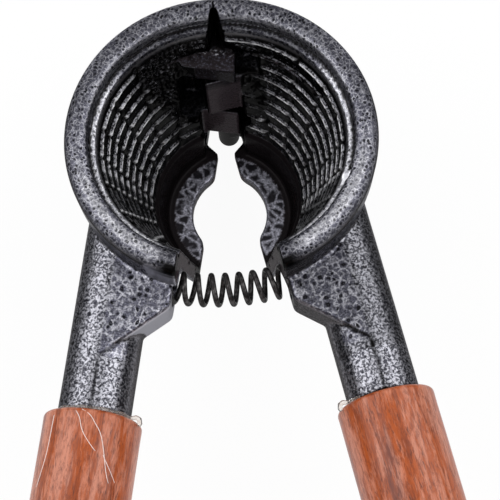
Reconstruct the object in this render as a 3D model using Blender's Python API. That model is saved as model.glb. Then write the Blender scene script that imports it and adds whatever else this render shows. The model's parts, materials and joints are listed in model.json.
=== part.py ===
"""Funnel nutcracker: two hinged half funnels with arms, wooden grips and a return spring.

Each half is drawn in its own closed frame. There the hinge axis is the local Z axis, Z = 0 is the
level of the lip's top, the handles run along -Y and the parting plane is X = 0. A half's features
are given as (w, v): w is the distance from the parting plane into the half, v is the local Y.
The two halves are then swung apart about the hinge to the open rest position.
"""
import math

import bmesh
import bpy
from mathutils import Vector

MM = 0.001

# Clearances
PIECE_GAP = 0.3 * MM
PARTING_GAP = 0.3 * MM
STOP_GAP = 0.3 * MM
KNUCKLE_GAP = 0.4 * MM
SWING_CLEARANCE = 0.4 * MM

# Rest position: each half stands this far open from the middle plane
HALF_OPENING = math.radians(11.6)

# Funnel
MOUTH_RADIUS = 30.0 * MM
MOUTH_CENTRE = (-3.47 * MM, -21.75 * MM)
THROAT_RADIUS = 15.1 * MM
THROAT_CENTRE = (-6.16 * MM, -21.2 * MM)
FUNNEL_DEPTH = 44.0 * MM
FLOOR_THICKNESS = 3.0 * MM
FLOOR_HOLE_RADIUS = 9.74 * MM
FLOOR_LOBE_ROUND = 3.0 * MM
WALL_THICKNESS = 3.2 * MM
LIP_ROUND = 2.35 * MM
SKIRT_DEPTH = 8.5 * MM
SKIRT_CHAMFER = 2.0 * MM
GROOVE_DEPTH = 4.2 * MM
GROOVE_HEIGHT = 0.5 * MM
GROOVE_CUT = 0.7 * MM
BAND_STEP = 1.1 * MM

# Stepped courses that grip the nut
COURSE_COUNT = 10
COURSE_PITCH = 3.4 * MM
FIRST_LEDGE_DEPTH = 6.8 * MM

# Rear of the parting faces, cut back so that the lips meet as the opening stop
REAR_SETBACK = 1.44 * MM
REAR_START = -6.8 * MM

# Hinge
PIN_RADIUS = 2.3 * MM
PIN_END_DEPTH = 53.0 * MM
KNUCKLE_TOP_DEPTH = 10.4 * MM
KNUCKLE_FIRST_JOINT = 16.0 * MM
KNUCKLE_SECOND_JOINT = 31.2 * MM
KNUCKLE_END_DEPTH = 42.3 * MM
KNUCKLE_RADIUS = 3.7 * MM
KNUCKLE_FRONT = 3.65 * MM
KNUCKLE_WINDOW = 3.85 * MM
RELIEF_POCKET_WIDTH = 8.1 * MM
RELIEF_POCKET_BACK = 1.2 * MM
BOSS_HALF_WIDTH = 9.5 * MM
BOSS_REAR = 7.6 * MM
BOSS_ROUND = 7.0 * MM

# Arms and tangs
ARM_RADIUS = 7.15 * MM
ARM_OFFSET = 13.73 * MM
ARM_TOE_IN = math.radians(0.74)
ARM_AXIS_DEPTH = 15.0 * MM
ARM_ROOT = 21.0 * MM
ARM_END = 78.0 * MM
TANG_RADIUS = 4.0 * MM
TANG_LENGTH = 80.0 * MM
TANG_CHAMFER = 0.8 * MM

# Webs between funnel and arm
WEB_TOP_DEPTH = 8.0 * MM
WEB_THICKNESS = 8.8 * MM
WEB_SETBACK = 0.8 * MM
WEB_INNER_CORNER = -55.8 * MM
WEB_OUTER_CORNER = -67.2 * MM
WEB_EDGE_ROUND = 0.9 * MM

# Return spring, on a circle about the hinge
SPRING_CIRCLE = 50.4 * MM
SPRING_DEPTH = 12.2 * MM
SPRING_OUTER_RADIUS = 3.45 * MM
WIRE_RADIUS = 0.55 * MM
SPRING_TURNS = 12
SPRING_POINTS_PER_TURN = 9
SPRING_PHASE = math.radians(160.0)
SPRING_BORE_DEPTH = 7.5 * MM

# Grips
GRIP_RADIUS = 9.66 * MM
GRIP_LENGTH = 107.0 * MM
GRIP_COLLAR_ROUND = 0.8 * MM
GRIP_END_ROUND = 2.5 * MM
GRIP_BORE_SPARE = 1.5 * MM

# Set glue round the collars
GLUE_RADIUS = 0.5 * MM
GLUE_BEAD_RADIUS = 1.15 * MM

# Facets
FUNNEL_SEGMENTS = 72
ROUND_SEGMENTS = 40
PIN_SEGMENTS = 24
REACH = 40.0 * MM

LEFT = -1
RIGHT = 1


def material(name, colour, roughness, metallic):
    """Returns a Principled material of one colour."""
    result = bpy.data.materials.new(name)
    result.use_nodes = True
    shader = result.node_tree.nodes["Principled BSDF"]
    shader.inputs["Base Color"].default_value = (*colour, 1.0)
    shader.inputs["Roughness"].default_value = roughness
    shader.inputs["Metallic"].default_value = metallic
    return result


def add_object(name, data, parent, finish=None):
    """Links an object under its parent, smooth where its faces meet gently."""
    result = bpy.data.objects.new(name, data)
    bpy.context.scene.collection.objects.link(result)
    result.parent = parent
    if finish:
        data.materials.append(finish)
    return result


def mesh_from(bm, name, smooth=True):
    """Turns an edited mesh into mesh data with sharp edges marked."""
    bmesh.ops.recalc_face_normals(bm, faces=bm.faces)
    data = bpy.data.meshes.new(name)
    bm.to_mesh(data)
    bm.free()
    if smooth:
        data.shade_smooth()
        data.set_sharp_from_angle(angle=math.radians(30.0))
    return data


def arc(centre, radius, start, end, steps):
    """Points on an arc, with both ends; angles in degrees."""
    points = []
    for i in range(steps + 1):
        angle = math.radians(start + (end - start) * i / steps)
        points.append((centre[0] + radius * math.cos(angle), centre[1] + radius * math.sin(angle)))
    return points


def lathe(name, profile, segments, centre=None):
    """A turned solid from (radius, z) points; centre(z) shifts each ring sideways."""
    bm = bmesh.new()
    rings = []
    for radius, z in profile:
        shift = centre(z) if centre else (0.0, 0.0)
        if radius == 0.0:
            rings.append([bm.verts.new((shift[0], shift[1], z))])
            continue
        ring = []
        for i in range(segments):
            angle = math.tau * i / segments
            x = shift[0] + radius * math.cos(angle)
            y = shift[1] + radius * math.sin(angle)
            ring.append(bm.verts.new((x, y, z)))
        rings.append(ring)
    for ring, following in zip(rings, rings[1:]):
        for i in range(segments):
            j = (i + 1) % segments
            if len(ring) == 1:
                bm.faces.new((ring[0], following[i], following[j]))
            elif len(following) == 1:
                bm.faces.new((ring[i], ring[j], following[0]))
            else:
                bm.faces.new((ring[i], ring[j], following[j], following[i]))
    for ring in (rings[0], rings[-1]):
        if len(ring) > 1:
            bm.faces.new(ring)
    return mesh_from(bm, name)


def prism(name, outline, bottom, top):
    """An upright solid over a plan outline."""
    bm = bmesh.new()
    base = bm.faces.new([bm.verts.new((x, y, bottom)) for x, y in outline])
    grown = bmesh.ops.extrude_face_region(bm, geom=[base])
    raised = [item for item in grown["geom"] if isinstance(item, bmesh.types.BMVert)]
    bmesh.ops.translate(bm, verts=raised, vec=(0.0, 0.0, top - bottom))
    return mesh_from(bm, name, smooth=False)


def block(name, side, w_range, v_range, z_range):
    """An upright box between two distances from the parting plane."""
    w0, w1 = w_range
    v0, v1 = v_range
    outline = [(side * w0, v0), (side * w1, v0), (side * w1, v1), (side * w0, v1)]
    return prism(name, outline, z_range[0], z_range[1])


def use(target, helper, operation):
    """Joins a helper to the target, or cuts it out, and hides the helper."""
    helper.hide_render = True
    helper.display_type = 'WIRE'
    step = target.modifiers.new(helper.name, 'BOOLEAN')
    step.operation = operation
    step.solver = 'EXACT'
    step.object = helper


def wall_radius(depth):
    """Mean inner radius of the funnel at a depth below the lip's top."""
    top = MOUTH_RADIUS - 2.0 * LIP_ROUND - BAND_STEP
    part = (depth - LIP_ROUND) / (FUNNEL_DEPTH - LIP_ROUND)
    return top + (THROAT_RADIUS - top) * part


def funnel_centre(side):
    """Returns the function that gives the funnel's centre at a level, for one half."""
    def centre(z):
        part = min(max((-z - LIP_ROUND) / (FUNNEL_DEPTH - LIP_ROUND), 0.0), 1.1)
        w = MOUTH_CENTRE[0] + (THROAT_CENTRE[0] - MOUTH_CENTRE[0]) * part
        v = MOUTH_CENTRE[1] + (THROAT_CENTRE[1] - MOUTH_CENTRE[1]) * part
        return side * w, v
    return centre


def outer_profile():
    """Outside of the funnel, top to bottom."""
    shelf = SKIRT_DEPTH + SKIRT_CHAMFER
    base = FUNNEL_DEPTH + FLOOR_THICKNESS
    profile = arc((MOUTH_RADIUS - LIP_ROUND, -LIP_ROUND), LIP_ROUND, 90.0, 0.0, 4)
    profile.append((MOUTH_RADIUS, -SKIRT_DEPTH))
    profile.append((wall_radius(shelf) + WALL_THICKNESS, -shelf))
    profile.append((wall_radius(base) + WALL_THICKNESS, -base))
    return profile


def course_profile():
    """Inside of the funnel, top to bottom, with a ledge at the foot of each course."""
    middle = MOUTH_RADIUS - LIP_ROUND
    overlap = 0.03 * MM
    rim = arc((middle - overlap, -LIP_ROUND), LIP_ROUND, 90.0, 180.0, 4)
    profile = [(middle - overlap, LIP_ROUND), (middle - overlap, -overlap)] + rim[1:]
    groove = MOUTH_RADIUS - 2.0 * LIP_ROUND + GROOVE_CUT
    profile.append((groove, -GROOVE_DEPTH + GROOVE_HEIGHT))
    profile.append((groove, -GROOVE_DEPTH))
    half_ledge = 0.5 * (wall_radius(0.0) - wall_radius(COURSE_PITCH))
    band_foot = FIRST_LEDGE_DEPTH - 0.5 * COURSE_PITCH
    profile.append((groove - 2.0 * GROOVE_CUT, -0.5 * (GROOVE_DEPTH + band_foot)))
    for i in range(COURSE_COUNT):
        ledge = FIRST_LEDGE_DEPTH + i * COURSE_PITCH
        if i == 0:
            profile.append((wall_radius(ledge) + half_ledge, -band_foot))
        profile.append((wall_radius(ledge) + half_ledge, -ledge))
        profile.append((wall_radius(ledge) - half_ledge, -ledge))
    profile.append((THROAT_RADIUS, -FUNNEL_DEPTH))
    return profile


def corner_round(centre, radius, w, direction, round_radius):
    """Arc that rounds the corner between a hole and the parting face.

    The hole has the given centre and radius, and the face lies at distance w. direction is +1
    for the corner towards the hinge and -1 for the other. Returns the arc's points from the
    hole to the face.
    """
    along = w + round_radius - centre[0]
    across = math.sqrt((radius + round_radius) ** 2 - along ** 2)
    middle = (w + round_radius, centre[1] + direction * across)
    start = math.degrees(math.atan2(-direction * across, -along))
    end = 180.0 * (1 if start > 0.0 else -1)
    return arc(middle, round_radius, start, end, 5)


def floor_opening(side):
    """Plan outline of the nut fragments' way out of one half, rounded at both lobes."""
    face = 0.5 * PARTING_GAP
    rear = corner_round(THROAT_CENTRE, FLOOR_HOLE_RADIUS, face, 1, FLOOR_LOBE_ROUND)
    front = corner_round(THROAT_CENTRE, FLOOR_HOLE_RADIUS, face, -1, FLOOR_LOBE_ROUND)
    rear_angle = math.degrees(math.atan2(rear[0][1] - THROAT_CENTRE[1], rear[0][0] - THROAT_CENTRE[0]))
    hole = arc(THROAT_CENTRE, FLOOR_HOLE_RADIUS, rear_angle, -rear_angle, 14)
    back = -REACH
    points = [(back, rear[-1][1])] + rear[::-1] + hole[1:-1] + front + [(back, front[-1][1])]
    return [(side * w, v) for w, v in points]


def knuckle_outline(side):
    """Plan outline of the hinge barrel, flat in front and round behind the pin."""
    root = BOSS_HALF_WIDTH - PIECE_GAP
    points = [(root, -KNUCKLE_FRONT), (-KNUCKLE_RADIUS, -KNUCKLE_FRONT)]
    points += arc((0.0, 0.0), KNUCKLE_RADIUS, 180.0, 90.0, 6)
    points.append((root, KNUCKLE_RADIUS))
    return [(side * w, v) for w, v in points]


def boss_outline(side):
    """Plan outline of the thickening round the hinge, with a rounded rear corner."""
    inside = REAR_START - 2.0 * MM
    points = [(0.0, inside), (BOSS_HALF_WIDTH, inside)]
    middle = (BOSS_HALF_WIDTH - BOSS_ROUND, BOSS_REAR - BOSS_ROUND)
    points += arc(middle, BOSS_ROUND, 0.0, 90.0, 8)
    points.append((0.0, BOSS_REAR))
    return [(side * w, v) for w, v in points]


def arm_point(distance):
    """(w, v) of a point on the arm's axis, by distance from the foot nearest the hinge."""
    w = ARM_OFFSET * math.cos(ARM_TOE_IN) - distance * math.sin(ARM_TOE_IN)
    v = -ARM_OFFSET * math.sin(ARM_TOE_IN) - distance * math.cos(ARM_TOE_IN)
    return w, v


def web_outline(side):
    """Plan outline of the web, from the parting face to the arm's crown line."""
    inside = MOUTH_CENTRE[1] - THROAT_RADIUS
    outer = WEB_OUTER_CORNER
    points = [(WEB_SETBACK, inside), (WEB_SETBACK, WEB_INNER_CORNER)]
    points.append((arm_point(-outer)[0], outer))
    points.append((arm_point(-inside)[0], inside))
    return [(side * w, v) for w, v in points]


def arm_profile():
    """The arm from its rounded root to the tip of its tang, along its axis."""
    root = arc((0.0, ARM_ROOT + ARM_RADIUS), ARM_RADIUS, -90.0, 0.0, 5)
    tip = ARM_END + TANG_LENGTH
    profile = [(0.0, ARM_ROOT)] + root[1:]
    profile += [(ARM_RADIUS, ARM_END), (TANG_RADIUS, ARM_END)]
    profile += [(TANG_RADIUS, tip - TANG_CHAMFER), (TANG_RADIUS - TANG_CHAMFER, tip)]
    return profile


def lay_along_arm(item, side):
    """Turns an object's Z axis along the arm's axis, away from the hinge."""
    w, v = arm_point(0.0)
    item.location = (side * w, v, -ARM_AXIS_DEPTH)
    item.rotation_euler = (math.radians(90.0), 0.0, -side * ARM_TOE_IN)


def knuckle_reliefs(side):
    """Depth ranges where the other half's knuckles turn inside this half."""
    half_gap = 0.5 * KNUCKLE_GAP
    if side == LEFT:
        return [(KNUCKLE_FIRST_JOINT - half_gap, KNUCKLE_SECOND_JOINT + half_gap)]
    top = KNUCKLE_TOP_DEPTH - KNUCKLE_GAP
    bottom = KNUCKLE_END_DEPTH + KNUCKLE_GAP
    return [(top, KNUCKLE_FIRST_JOINT + half_gap), (KNUCKLE_SECOND_JOINT - half_gap, bottom)]


def build_jaw(name, side, half, root, finish):
    """One cast half: funnel, web, arm, tang and its share of the hinge barrel."""
    base = -(FUNNEL_DEPTH + FLOOR_THICKNESS)
    below = base - MM
    centre = funnel_centre(side)
    jaw = add_object(name, lathe(name, outer_profile(), FUNNEL_SEGMENTS, centre), half, finish)

    web_bottom = -(WEB_TOP_DEPTH + WEB_THICKNESS)
    web = add_object(name + "_web", prism("web", web_outline(side), web_bottom, -WEB_TOP_DEPTH), half)
    edge = web.modifiers.new("edges", 'BEVEL')
    edge.width = WEB_EDGE_ROUND
    edge.segments = 2
    use(jaw, web, 'UNION')

    arm = add_object(name + "_arm", lathe("arm", arm_profile(), ROUND_SEGMENTS), half)
    lay_along_arm(arm, side)
    use(jaw, arm, 'UNION')

    boss_top = -0.5 * (LIP_ROUND + SKIRT_DEPTH)
    boss = prism("boss", boss_outline(side), -KNUCKLE_END_DEPTH, boss_top)
    use(jaw, add_object(name + "_boss", boss, half), 'UNION')

    inside = lathe("inside", course_profile(), FUNNEL_SEGMENTS, centre)
    use(jaw, add_object(name + "_inside", inside, half), 'DIFFERENCE')

    face = 0.5 * PARTING_GAP
    span = (below, -below)
    parting = block("parting", side, (-REACH, face), (-2.0 * REACH, REAR_START), span)
    use(jaw, add_object(name + "_parting", parting, half), 'DIFFERENCE')

    rear = block("rear", side, (-REACH, REAR_SETBACK), (REAR_START - MM, REACH), span)
    use(jaw, add_object(name + "_rear", rear, half), 'DIFFERENCE')

    stop = block("stop", side, (-REACH, 0.5 * STOP_GAP), (0.0, REACH), span)
    use(jaw, add_object(name + "_stop", stop, root), 'DIFFERENCE')

    opening = prism("opening", floor_opening(side), below, -FUNNEL_DEPTH + MM)
    use(jaw, add_object(name + "_opening", opening, half), 'DIFFERENCE')

    window_span = (below, -KNUCKLE_TOP_DEPTH)
    window = block("window", side, (-REACH, KNUCKLE_WINDOW), (REAR_START, REACH), window_span)
    use(jaw, add_object(name + "_window", window, half), 'DIFFERENCE')

    barrel = prism("barrel", knuckle_outline(side), -KNUCKLE_END_DEPTH, -KNUCKLE_TOP_DEPTH)
    use(jaw, add_object(name + "_barrel", barrel, half), 'UNION')

    corner = math.hypot(KNUCKLE_RADIUS, KNUCKLE_FRONT)
    for i, (top, bottom) in enumerate(knuckle_reliefs(side)):
        swing = [(corner + SWING_CLEARANCE, -bottom), (corner + SWING_CLEARANCE, -top)]
        relief = lathe("relief", swing, ROUND_SEGMENTS)
        use(jaw, add_object(f"{name}_relief_{i}", relief, half), 'DIFFERENCE')
        depth_span = (REAR_START, RELIEF_POCKET_BACK)
        pocket = block("pocket", side, (-REACH, RELIEF_POCKET_WIDTH), depth_span, (-bottom, -top))
        use(jaw, add_object(f"{name}_pocket_{i}", pocket, half), 'DIFFERENCE')

    bore_radius = PIN_RADIUS + PIECE_GAP
    bore = lathe("bore", [(bore_radius, below), (bore_radius, MM - KNUCKLE_TOP_DEPTH)], PIN_SEGMENTS)
    use(jaw, add_object(name + "_bore", bore, half), 'DIFFERENCE')

    seat_radius = SPRING_OUTER_RADIUS + PIECE_GAP
    seat_end = WEB_SETBACK + SPRING_BORE_DEPTH
    seat_mesh = lathe("seat", [(seat_radius, -REACH), (seat_radius, seat_end)], PIN_SEGMENTS)
    seat = add_object(name + "_seat", seat_mesh, half)
    seat.location = (0.0, -SPRING_CIRCLE, -SPRING_DEPTH)
    seat.rotation_euler = (0.0, side * math.radians(90.0), 0.0)
    use(jaw, seat, 'DIFFERENCE')
    return jaw


def build_pin(half, finish):
    """Hinge pin with a slightly rounded top and a domed lower end."""
    top = -(KNUCKLE_TOP_DEPTH - 0.5 * MM)
    dome = arc((0.0, PIN_RADIUS - PIN_END_DEPTH), PIN_RADIUS, -90.0, 0.0, 6)
    profile = [(0.0, -PIN_END_DEPTH)] + dome[1:]
    profile += [(PIN_RADIUS, top - PIECE_GAP), (PIN_RADIUS - PIECE_GAP, top)]
    return add_object("hinge_pin", lathe("hinge_pin", profile, PIN_SEGMENTS), half, finish)


def spring_axis(distance):
    """Point and direction on the spring's centre line, by distance from the middle plane.

    Between the halves the line is an arc about the hinge. In each seat it runs straight on.
    """
    half_arc = SPRING_CIRCLE * HALF_OPENING
    held = min(max(distance, -half_arc), half_arc)
    angle = held / SPRING_CIRCLE
    point = Vector((math.sin(angle), -math.cos(angle), 0.0)) * SPRING_CIRCLE
    along = Vector((math.cos(angle), math.sin(angle), 0.0))
    return point + along * (distance - held), along


def spring_points():
    """Centre line of the spring's wire, one unbroken run with a straight stub at each end."""
    stub = 2.0 * WIRE_RADIUS
    reach = SPRING_CIRCLE * HALF_OPENING + WEB_SETBACK + SPRING_BORE_DEPTH - PIECE_GAP - stub
    radius = SPRING_OUTER_RADIUS - WIRE_RADIUS
    up = Vector((0.0, 0.0, 1.0))
    level = Vector((0.0, 0.0, -SPRING_DEPTH))
    points = []
    steps = SPRING_TURNS * SPRING_POINTS_PER_TURN
    for i in range(steps + 1):
        distance = reach * (2.0 * i / steps - 1.0)
        turn = SPRING_PHASE + math.tau * (i / SPRING_POINTS_PER_TURN - 0.5 * SPRING_TURNS)
        middle, along = spring_axis(distance)
        across = up.cross(along)
        offset = across * math.cos(turn) + up * math.sin(turn)
        points.append(middle + level + offset * radius)
    first = points[0] - spring_axis(-reach)[1] * stub
    last = points[-1] + spring_axis(reach)[1] * stub
    return [first] + points + [last]


def least_gap(points, apart, thickness):
    """Smallest clear gap between runs of a wire that lie at least this many points apart."""
    nearest = min((p - q).length for i, p in enumerate(points) for q in points[i + apart:])
    return nearest - thickness


def build_spring(root, finish):
    """Open coil spring between the webs."""
    points = spring_points()
    gap = least_gap(points, SPRING_POINTS_PER_TURN // 2, 2.0 * WIRE_RADIUS)
    print(f"return_spring: least gap to itself {gap / MM:.2f} mm")
    curve = bpy.data.curves.new("return_spring", 'CURVE')
    curve.dimensions = '3D'
    curve.bevel_depth = WIRE_RADIUS
    curve.bevel_resolution = 1
    curve.use_fill_caps = True
    curve.render_resolution_u = 0
    wire = curve.splines.new('POLY')
    wire.points.add(len(points) - 1)
    for slot, point in zip(wire.points, points):
        slot.co = (*point, 1.0)
    return add_object("return_spring", curve, root, finish)


def build_grip(name, side, half, finish):
    """Turned grip with a blind bore for the tang."""
    bore = TANG_RADIUS + PIECE_GAP
    depth = TANG_LENGTH - PIECE_GAP + GRIP_BORE_SPARE
    collar_middle = (GRIP_RADIUS - GRIP_COLLAR_ROUND, GRIP_COLLAR_ROUND)
    end_middle = (GRIP_RADIUS - GRIP_END_ROUND, GRIP_LENGTH - GRIP_END_ROUND)
    profile = [(0.0, depth), (bore, depth), (bore, 0.0)]
    profile += arc(collar_middle, GRIP_COLLAR_ROUND, -90.0, 0.0, 3)
    profile += arc(end_middle, GRIP_END_ROUND, 0.0, 90.0, 4)
    profile.append((0.0, GRIP_LENGTH))
    profile = [(radius, z + ARM_END + PIECE_GAP) for radius, z in profile]
    grip = add_object(name, lathe(name, profile, ROUND_SEGMENTS), half, finish)
    lay_along_arm(grip, side)
    return grip


def glue_path(side, start, end):
    """Points (radius, angle, height, thickness) of the glue, ending in a bead over the edge.

    The run lies in the corner between arm and grip, between two angles in degrees from the
    parting side over the top. The bead hooks over the grip's edge at the end angle.
    """
    seat = ARM_END + PIECE_GAP
    points = []
    steps = 14
    for i in range(steps + 1):
        part = i / steps
        thickness = GLUE_RADIUS * (0.6 + 0.4 * part)
        radius = ARM_RADIUS + PIECE_GAP + thickness
        points.append((radius, start + (end - start) * part, seat - PIECE_GAP - thickness, thickness))
    bead = GLUE_BEAD_RADIUS
    outside = GRIP_RADIUS + PIECE_GAP + bead
    points.append((GRIP_RADIUS - bead, end, seat - PIECE_GAP - bead, bead))
    points.append((outside - 0.5 * bead, end, seat - 0.9 * bead, bead))
    points.append((outside, end, seat + bead, bead))
    points.append((outside, end, seat + 2.0 * bead, 0.5 * bead))
    placed = []
    for radius, angle, height, thickness in points:
        turn = math.radians(angle)
        x = -side * radius * math.cos(turn)
        placed.append((Vector((x, radius * math.sin(turn), height)), thickness))
    return placed


def build_glue(name, side, half, start, end, finish):
    """Set glue squeezed out round the collar."""
    path = glue_path(side, start, end)
    curve = bpy.data.curves.new(name, 'CURVE')
    curve.dimensions = '3D'
    curve.bevel_depth = GLUE_RADIUS
    curve.bevel_resolution = 2
    curve.use_fill_caps = True
    curve.render_resolution_u = 0
    run = curve.splines.new('POLY')
    run.points.add(len(path) - 1)
    for slot, (point, thickness) in zip(run.points, path):
        slot.co = (*point, 1.0)
        slot.radius = thickness / GLUE_RADIUS
    glue = add_object(name, curve, half, finish)
    lay_along_arm(glue, side)
    return glue


def swung(w, v, side):
    """World direction of a half's (w, v), seen from the hinge in the open position."""
    angle = side * HALF_OPENING
    x = side * w * math.cos(angle) - v * math.sin(angle)
    y = side * w * math.sin(angle) + v * math.cos(angle)
    return x, y


def front_reach():
    """Distance from the hinge to the grips' ends along -Y, in the open position."""
    length = ARM_END + PIECE_GAP + GRIP_LENGTH - GRIP_END_ROUND
    middle = swung(*arm_point(length), RIGHT)
    lean = HALF_OPENING - ARM_TOE_IN
    return -middle[1] + (GRIP_RADIUS - GRIP_END_ROUND) * math.sin(lean) + GRIP_END_ROUND


def rear_reach():
    """Distance from the hinge to the back of the rim along +Y, in the open position."""
    return swung(*MOUTH_CENTRE, RIGHT)[1] + MOUTH_RADIUS


def add_empty(name, parent=None):
    """An empty that carries other objects."""
    result = bpy.data.objects.new(name, None)
    bpy.context.scene.collection.objects.link(result)
    result.parent = parent
    return result


def main():
    for item in list(bpy.data.objects):
        bpy.data.objects.remove(item)

    iron = material("black_silver_lacquer", (0.07, 0.07, 0.08), 0.3, 0.6)
    dark_iron = material("black_silver_lacquer_right", (0.07, 0.07, 0.08), 0.3, 0.6)
    steel = material("dark_pin", (0.05, 0.045, 0.045), 0.35, 0.8)
    wire = material("black_wire", (0.03, 0.03, 0.03), 0.35, 0.7)
    wood = material("lacquered_wood", (0.37, 0.11, 0.05), 0.3, 0.0)
    wood_right = material("lacquered_wood_right", (0.37, 0.11, 0.05), 0.3, 0.0)
    glue = material("set_glue", (0.75, 0.66, 0.58), 0.25, 0.0)
    glue_right = material("set_glue_right", (0.75, 0.66, 0.58), 0.25, 0.0)

    hinge = add_empty("hinge_axis")
    hinge.location = (0.0, 0.5 * (front_reach() - rear_reach()), PIN_END_DEPTH)
    left_half = add_empty("left_half", hinge)
    left_half.rotation_euler = (0.0, 0.0, -HALF_OPENING)
    right_half = add_empty("right_half", hinge)
    right_half.rotation_euler = (0.0, 0.0, HALF_OPENING)

    build_jaw("left_jaw", LEFT, left_half, hinge, iron)
    build_jaw("right_jaw", RIGHT, right_half, hinge, dark_iron)
    build_pin(left_half, steel)
    build_spring(hinge, wire)
    build_grip("left_grip", LEFT, left_half, wood)
    build_grip("right_grip", RIGHT, right_half, wood_right)
    build_glue("left_glue", LEFT, left_half, 170.0, 20.0, glue)
    build_glue("right_glue", RIGHT, right_half, 110.0, 25.0, glue_right)


main()
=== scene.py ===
"""Dressed model of a funnel nutcracker.

Two cast half funnels turn on one pin. Each has a web, an arm and a turned wooden grip, and an
open coil spring between the webs opens them. Meshes are drawn in millimetres in each half's own
closed frame: the hinge is the Z axis, Z = 0 is the level of the lip's top, the handles run along
-Y and the parting plane is X = 0. A feature at (w, v) lies w from the parting plane into the
half, at the local Y of v. The two halves are then swung apart to the open rest position.
"""
import json
import logging
import math
from collections.abc import Callable
from dataclasses import dataclass
from enum import Enum

import bmesh
import bpy
import numpy as np
from mathutils import Euler, Matrix, Vector, noise


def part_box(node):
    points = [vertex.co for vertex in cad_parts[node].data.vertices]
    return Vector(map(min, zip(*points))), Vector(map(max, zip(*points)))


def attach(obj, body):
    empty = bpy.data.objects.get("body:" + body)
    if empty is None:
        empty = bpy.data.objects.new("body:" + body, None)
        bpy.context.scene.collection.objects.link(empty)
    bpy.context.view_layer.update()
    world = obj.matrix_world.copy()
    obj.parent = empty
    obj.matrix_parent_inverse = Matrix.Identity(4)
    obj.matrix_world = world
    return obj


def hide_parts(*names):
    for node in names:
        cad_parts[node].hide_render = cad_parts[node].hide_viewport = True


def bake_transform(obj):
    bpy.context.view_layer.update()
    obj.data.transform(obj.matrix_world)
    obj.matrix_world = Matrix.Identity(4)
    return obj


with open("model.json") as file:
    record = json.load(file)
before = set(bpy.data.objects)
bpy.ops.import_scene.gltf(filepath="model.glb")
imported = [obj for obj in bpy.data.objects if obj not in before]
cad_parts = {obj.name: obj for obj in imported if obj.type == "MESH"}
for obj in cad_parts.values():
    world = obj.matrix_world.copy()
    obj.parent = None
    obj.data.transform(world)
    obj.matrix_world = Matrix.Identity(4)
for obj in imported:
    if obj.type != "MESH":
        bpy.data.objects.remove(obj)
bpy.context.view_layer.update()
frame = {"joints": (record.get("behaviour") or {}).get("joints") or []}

LOG = logging.getLogger("nutcracker")
MM = 0.001
OPENING = math.radians(11.6)

Point = tuple[float, float]
Triple = tuple[float, float, float]
Colour = Triple
Array = np.ndarray
Socket = bpy.types.NodeSocket
Material = bpy.types.Material
Mesh = bpy.types.Mesh
Item = bpy.types.Object


class Side(Enum):
    """Which half a piece belongs to, and the sign of its local X."""

    LEFT = -1
    RIGHT = 1


class Blend(Enum):
    """How a helper solid changes the solid it is used on."""

    JOIN = 'UNION'
    CUT = 'DIFFERENCE'


@dataclass(frozen=True)
class HalfFrame:
    """Where one half stands at rest.

    The hinge point is in world metres, at the level of the lip's top.
    """

    side: Side
    hinge: Triple

    @property
    def sign(self) -> int:
        """-1 on the left and +1 on the right."""
        return self.side.value

    @property
    def word(self) -> str:
        """The side's name as it stands in piece names."""
        return self.side.name.lower()

    @property
    def body(self) -> str:
        """Name of the moving body that carries this half."""
        return self.word + "_half"

    def matrix(self) -> Matrix:
        """Placement of the half's closed frame in the open rest position."""
        return Matrix.Translation(self.hinge) @ Matrix.Rotation(self.sign * OPENING, 4, 'Z')


def arc(centre: Point, radius: float, start: float, end: float, steps: int) -> list[Point]:
    """Points on an arc.

    Args:
        centre: middle of the arc.
        radius: its radius.
        start: first angle in degrees.
        end: last angle in degrees.
        steps: number of chords.

    Returns:
        The points, with both ends.
    """
    angles = np.radians(np.linspace(start, end, steps + 1))
    return [(centre[0] + radius * math.cos(a), centre[1] + radius * math.sin(a)) for a in angles]


def closed_mesh(bm: bmesh.types.BMesh, name: str) -> Mesh:
    """Turns an edited mesh into smooth mesh data with its faces outwards.

    Args:
        bm: the edited mesh, which is freed.
        name: name of the mesh data.

    Returns:
        The mesh data.
    """
    bmesh.ops.recalc_face_normals(bm, faces=bm.faces)
    mesh = bpy.data.meshes.new(name)
    bm.to_mesh(mesh)
    bm.free()
    mesh.shade_smooth()
    return mesh


def lathe(profile: list[Point], segments: int,
          centre: Callable[[float], Point] | None = None) -> Mesh:
    """A turned solid about the Z axis.

    Args:
        profile: (radius, z) points from one end to the other.
        segments: facets round the axis.
        centre: gives each ring's sideways shift by its z.

    Returns:
        The closed mesh.
    """
    bm = bmesh.new()
    rings = []
    for radius, z in profile:
        dx, dy = centre(z) if centre else (0.0, 0.0)
        count = segments if radius > 0.0 else 1
        turns = [math.tau * i / segments for i in range(count)]
        rings.append([bm.verts.new((dx + radius * math.cos(t), dy + radius * math.sin(t), z))
                      for t in turns])
    for ring, following in zip(rings, rings[1:]):
        for i in range(segments):
            j = (i + 1) % segments
            if len(ring) == 1:
                bm.faces.new((ring[0], following[i], following[j]))
            elif len(following) == 1:
                bm.faces.new((ring[i], ring[j], following[0]))
            else:
                bm.faces.new((ring[i], ring[j], following[j], following[i]))
    for ring in (rings[0], rings[-1]):
        if len(ring) > 1:
            bm.faces.new(ring)
    return closed_mesh(bm, "turned")


def prism(outline: list[Point], bottom: float, top: float) -> Mesh:
    """An upright solid over a plan outline.

    Args:
        outline: plan points in order.
        bottom: level of its foot.
        top: level of its top.

    Returns:
        The closed mesh.
    """
    bm = bmesh.new()
    base = bm.faces.new([bm.verts.new((x, y, bottom)) for x, y in outline])
    grown = bmesh.ops.extrude_face_region(bm, geom=[base])
    raised = [item for item in grown["geom"] if isinstance(item, bmesh.types.BMVert)]
    bmesh.ops.translate(bm, verts=raised, vec=(0.0, 0.0, top - bottom))
    return closed_mesh(bm, "prism")


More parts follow.
